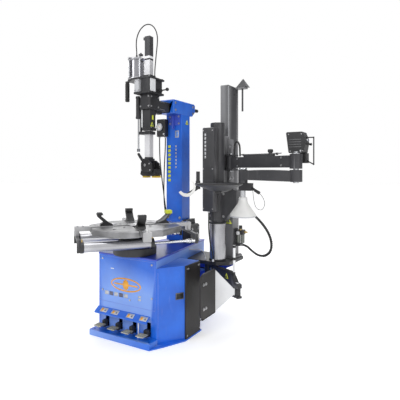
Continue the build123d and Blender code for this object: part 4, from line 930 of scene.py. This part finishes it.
# ---------------------------------------------------------------- help arm fittings
def detail_help_arm():
    axis = (0.41, 0.465)
    for name, z in (("help_cap_foot", 0.4705), ("help_cap_top", 0.744)):
        lathe(name, [(0.0555, 0.0), (0.0635, 0.0), (0.065, 0.002), (0.065, 0.011), (0.0635, 0.013),
              (0.0555, 0.013)], upright(*axis, z), BLACK, "base", bevel=0.0004)
    solids("platform_fittings", [((x, y, low), (x, y, high), radius, sides) for x,
           y in ((0.41, 0.392), (0.326, 0.426)) for low, high, radius,
           sides in ((0.47, 0.48, 0.0085, 6), (0.48, 0.488, 0.0066, 24))]
           + [((0.372, 0.395, 0.84), (0.372, 0.395, 0.826), 0.0085, 6)], WHITE, "base", 0.0006)
    for index in range(7):
        label(f"cover_bar_{index}", bar_outline(0.013, 0.019), (0.368, 0.3498, 1.236 + 0.027 * index), X, Z,
              PALE, "carriage")
    spots = [(x, 0.3498, z) for x in (0.352, 0.428) for z in (0.86, 1.15, 1.43)]
    bolts("cover_screws", spots, (0, -1, 0), STEEL, "carriage", 0.005, 0.003, True)
    lathe("housing_cap", [(0.0, 0.006), (0.02, 0.006), (0.024, 0.003), (0.05, 0.003), (0.0535, 0.0),
          (0.0, 0.0)], upright(*axis, 1.49), PLASTIC, "carriage")
    bolts("housing_cap_screws", [(axis[0] + 0.038 * cos(a), axis[1] + 0.038 * sin(a), 1.4925)
          for a in (0.5, 1.55, 2.6, 3.65, 4.7, 5.75)], Z, STEEL, "carriage", 0.0045, 0.003, True)
    warning_mark("post_mark", (0.448, 0.5757, 0.752), X, Z, "base", 0.052)
    # Pale strip along the mast's front-right corner: a painted highlight of the lit corner edge.
    strips("mast_corner_painted_highlight", [((0.4443, 0.5757, 0.8), (0.4443, 0.5757, 1.79))], (0.7, -0.7, 0), PALE, "base",
           0.003, 0.0009)
    strips("mast_rails", [((0.4452, y, 0.86), (0.4452, y, 1.775)) for y in (0.6, 0.735)], X, STEEL, "base",
           0.006, 0.001)
    lathe("mast_hole", [(0.0, 0.0008), (0.008, 0.0008), (0.0095, 0.0), (0.0, 0.0)],
          facing((0.445, 0.683, 1.739), X), RUBBER, "base")
    bolts("mast_cap_screws", [(x, y, 1.7983) for x in (0.392, 0.431) for y in (0.592, 0.67)], Z, STEEL,
          "base", 0.006, 0.003, True)
    bolts("mast_foot_bolts", [(x, y, 0.4845) for x in (0.408, 0.5) for y in (0.566, 0.676)], Z, STEEL,
          "base", 0.008, 0.006)
    bolts("cheek_bolts", [(0.4552, y, z) for y in (0.58, 0.63) for z in (0.94, 1.08, 1.32)], X, STEEL,
          "carriage", 0.0085, 0.006)
    bolts("lower_body_bolts", [(x, 0.4408, z) for x in (0.365, 0.47) for z in (0.8, 0.965)], (0, -1, 0),
          STEEL, "carriage", 0.007, 0.005)
    spline_curve("beam_loop", [(0.52, 0.522, 1.242), (0.519, 0.522, 1.29), (0.526, 0.52, 1.338),
                 (0.55, 0.511, 1.357), (0.571, 0.503, 1.332), (0.577, 0.5, 1.29), (0.577, 0.5, 1.242)],
                 0.0065, RUBBER, "beam")
    root, elbow = Vector((0.49, 0.534, 0)), Vector((1.049, 0.317, 0))
    way = (elbow - root).normalized()
    out = Vector((way.y, -way.x, 0))
    start, end = root.lerp(elbow, 0.17), root.lerp(elbow, 0.8)
    solids("lock_rod", [(start + Vector((0, 0, 1.2535)), end + Vector((0, 0, 1.2535)), 0.004, 24)], STEEL,
           "beam", 0.0005)
    solids("lock_rod_eyes", [(foot + Vector((0, 0, 1.243)), foot + Vector((0, 0, 1.2585)), 0.0085, 32)
           for foot in (root.lerp(elbow, 0.22), root.lerp(elbow, 0.74))], BLACK, "beam", 0.001)
    lathe("lock_knob_ribs", [(0.0, 0.0), (0.014, 0.0), (0.0185, 0.004), (0.0185, 0.018), (0.015, 0.022),
          (0.0, 0.023)], upright(0.85, 0.395, 1.261), PLASTIC, "beam", 12, 0.001)
    bolts("beam_side_screws", [root.lerp(elbow, share) + out * 0.0295 + Vector((0, 0, z))
          for share in (0.16, 0.84) for z in (1.172, 1.222)], out, STEEL, "beam", 0.006, 0.0035, True)
    lathe("elbow_washer", [(0.019, 0.0), (0.029, 0.0), (0.03, 0.001), (0.03, 0.004), (0.019, 0.004)],
          upright(1.049, 0.317, 1.2442), CHROME, "beam")
    tip = Vector((0.675, 0.332, 1.112))
    aim = Vector((0.872, -0.49, 0))
    bolts("link_nut", [tip + aim * 0.0315], aim, CHROME, "link", 0.0115, 0.008)
    lathe("rod_collar", [(0.0195, 0.0), (0.027, 0.0), (0.028, 0.0015), (0.028, 0.01), (0.0265, 0.012),
          (0.0195, 0.012)], upright(0.675, 0.332, 1.1435), CHROME, "link")
    lathe("elbow_foot_cap", [(0.0, -0.004), (0.016, -0.004), (0.02, -0.002), (0.034, -0.002), (0.036, 0.0),
          (0.0, 0.0)], upright(1.049, 0.317, 1.0668), CHROME, "link")
    solids("clamp_grip", [((0.768, 0.3157, 1.0065), (0.8065, 0.3004, 0.989), 0.0098, 32, 0.0112)], RUBBER,
           "clamp_lever", 0.0025, 3)
    spline_curve("tether", [(0.744, 0.345, 1.02), (0.762, 0.356, 1.005), (0.8, 0.384, 0.96),
                 (0.812, 0.4, 0.905), (0.79, 0.388, 0.862), (0.756, 0.362, 0.88), (0.745, 0.346, 0.95),
                 (0.744, 0.34, 1.008)], 0.0016, GREY, "clamp_lever")
    lathe("cone_rim", [(0.084, 0.0), (0.0885, 0.002), (0.0905, 0.006), (0.0905, 0.009), (0.0885, 0.011)],
          upright(0.675, 0.332, 0.8195), PALE, "press_cone")
    lathe("cone_neck", [(0.0272, 0.0), (0.03, 0.002), (0.03, 0.006), (0.0272, 0.008)],
          upright(0.675, 0.332, 0.94), WHITE, "press_cone")
    lathe("disc_lip", [(0.1415, 0.0), (0.152, 0.0), (0.1524, 0.0015), (0.1524, 0.0045), (0.151, 0.0055),
          (0.143, 0.0055)], upright(0.629, 0.06, 1.0525), RUBBER, "disc")
    lathe("disc_hub", [(0.0, 0.016), (0.012, 0.016), (0.016, 0.013), (0.03, 0.01), (0.036, 0.004),
          (0.036, 0.0), (0.0, 0.0)], upright(0.629, 0.06, 1.0205), BLACK, "disc")
    bolts("disc_bolts", [(0.629 + 0.047 * cos(a), 0.06 + 0.047 * sin(a), 1.0203)
          for a in (0.3, 1.56, 2.8, 4.1, 5.3)], Z, STEEL, "disc", 0.0055, 0.003, True)


def detail_control_box():
    side = X
    for index, (y, z) in enumerate(((0.385, 1.336), (0.412, 1.336))):
        lathe(f"push_button_{index}", [(0.0, 0.008), (0.006, 0.008), (0.0075, 0.006), (0.0075, 0.0),
              (0.0, 0.0)], facing((1.0985, y, z), side), SLATE if index else PALE, "beam")
    for y in (0.37, 0.43):
        lathe(f"lever_knob_{int(y * 1000)}", [(0.0, -0.003), (0.005, -0.003), (0.0088, 0.002),
              (0.0088, 0.008), (0.005, 0.0115), (0.0, 0.0115)], facing((1.11, y, 1.31), side), RUBBER,
              "beam", 32)
    front = 0.3498
    for index in range(4):
        label(f"box_groove_{index}", bar_outline(0.078, 0.0026), (1.034, front, 1.292 + 0.016 * index), X, Z,
              GREY, "beam")
    label("box_tag", bar_outline(0.01, 0.016), (1.068, front, 1.264), X, Z, PALE, "beam")
    bolts("box_screws", [(x, front, z) for x, z in ((0.99, 1.374), (1.074, 1.374), (1.002, 1.264),
          (1.084, 1.264))], (0, -1, 0), STEEL, "beam", 0.004, 0.0025, True)
    solids("guard_bushes", [(start, end, 0.007, 32) for start,
           end in (((1.091, 0.402, 1.353), (1.102, 0.402, 1.353)),
           ((1.099, 0.402, 1.2006), (1.106, 0.402, 1.1965)))], RUBBER, "beam", 0.001)


def detail_air_unit():
    dial = facing((0.521, 0.5895, 0.662), (0, -1, 0))
    lathe("air_gauge", [(0.0, 0.004), (0.013, 0.004), (0.0135, 0.006), (0.016, 0.005), (0.0165, 0.0),
          (0.0, 0.0)], dial, STEEL, "base")
    lathe("air_gauge_face", [(0.0, 0.0052), (0.013, 0.0052), (0.013, 0.004), (0.0, 0.004)], dial, WHITE,
          "base")
    solids("air_gauge_needle", [((0.5205, 0.5838, 0.6612), (0.53, 0.5844, 0.6626))], BLACK, "base")
    solids("air_fittings", [((0.56, 0.62, 0.668), (0.572, 0.62, 0.668), 0.0085, 6),
           ((0.572, 0.62, 0.668), (0.584, 0.62, 0.668), 0.006, 24),
           ((0.545, 0.59, 0.69), (0.545, 0.578, 0.69), 0.0065, 6)], BRASS, "base", 0.0006)
    solids("air_hose_nut", [((0.53, 0.62, 0.57), (0.548, 0.62, 0.57), 0.0115, 6)], STEEL, "base", 0.0008)
    solids("service_hose_nut", [((0.575, 0.5, 0.85), (0.592, 0.5, 0.85), 0.0115, 6)], STEEL, "carriage",
           0.0008)


# ---------------------------------------------------------------- bead breaker fittings
def detail_bead_breaker():
    way = Vector((0.884, -0.469, 0))
    out = Vector((-0.469, -0.884, 0))
    base = Vector((0.33, 0.47, 0)) + out * 0.0172
    at = base + way * 0.255 + Vector((0, 0, 0.398))
    label("arm_mark_ground", triangle_outline(0.046), at, way, Z, LIME, "bead_arm")
    label("arm_mark_centre", triangle_outline(0.023), at - Vector((0, 0, 0.003)), way, Z, BLACK, "bead_arm",
          0.001)
    bolts("bead_arm_bolts", [base + way * u + Vector((0, 0, z)) for u,
          z in ((0.06, 0.35), (0.06, 0.408), (0.15, 0.36))], out, STEEL, "bead_arm", 0.008, 0.005)
    lathe("bead_pivot_cap", [(0.0, 0.01), (0.02, 0.01), (0.026, 0.006), (0.028, 0.0), (0.0, 0.0)],
          upright(0.33, 0.47, 0.4355), BLACK, "bead_arm")
    lathe("end_pin_cap", [(0.0, 0.007), (0.012, 0.007), (0.015, 0.004), (0.015, 0.0), (0.0, 0.0)],
          upright(0.65, 0.3, 0.368), CHROME, "bead_arm", 6, 0.001)
    lathe("handle_cap", [(0.0, 0.006), (0.006, 0.006), (0.0105, 0.001), (0.0105, -0.012), (0.0, -0.012)],
          upright(0.615, 0.3185, 0.6165), RUBBER, "bead_arm")
    solids("blade_edge", [((x - 0.001, 0.06, 0.16), (x + 0.005, 0.24, 0.166)) for x in (0.4925, 0.5035)],
           RUBBER, "bead_blade", 0.001)
    bolts("blade_bolts", [(0.4928, y, z) for y in (0.08, 0.15, 0.22) for z in (0.25, 0.37)], (-1, 0, 0),
          STEEL, "bead_blade", 0.008, 0.004)
    bolts("blade_outer_bolts", [(0.5072, y, z) for y in (0.08, 0.11) for z in (0.23, 0.39)], X, STEEL,
          "bead_blade", 0.008, 0.005)


make_studio()
make_camera()
dress_cabinet()
dress_turntable()
dress_tower()
dress_head()
dress_help_arm()
dress_bead_breaker()
make_hoses()
detail_cabinet()
detail_left_wall()
detail_turntable()
detail_tower()
detail_head()
detail_help_arm()
detail_control_box()
detail_air_unit()
detail_bead_breaker()
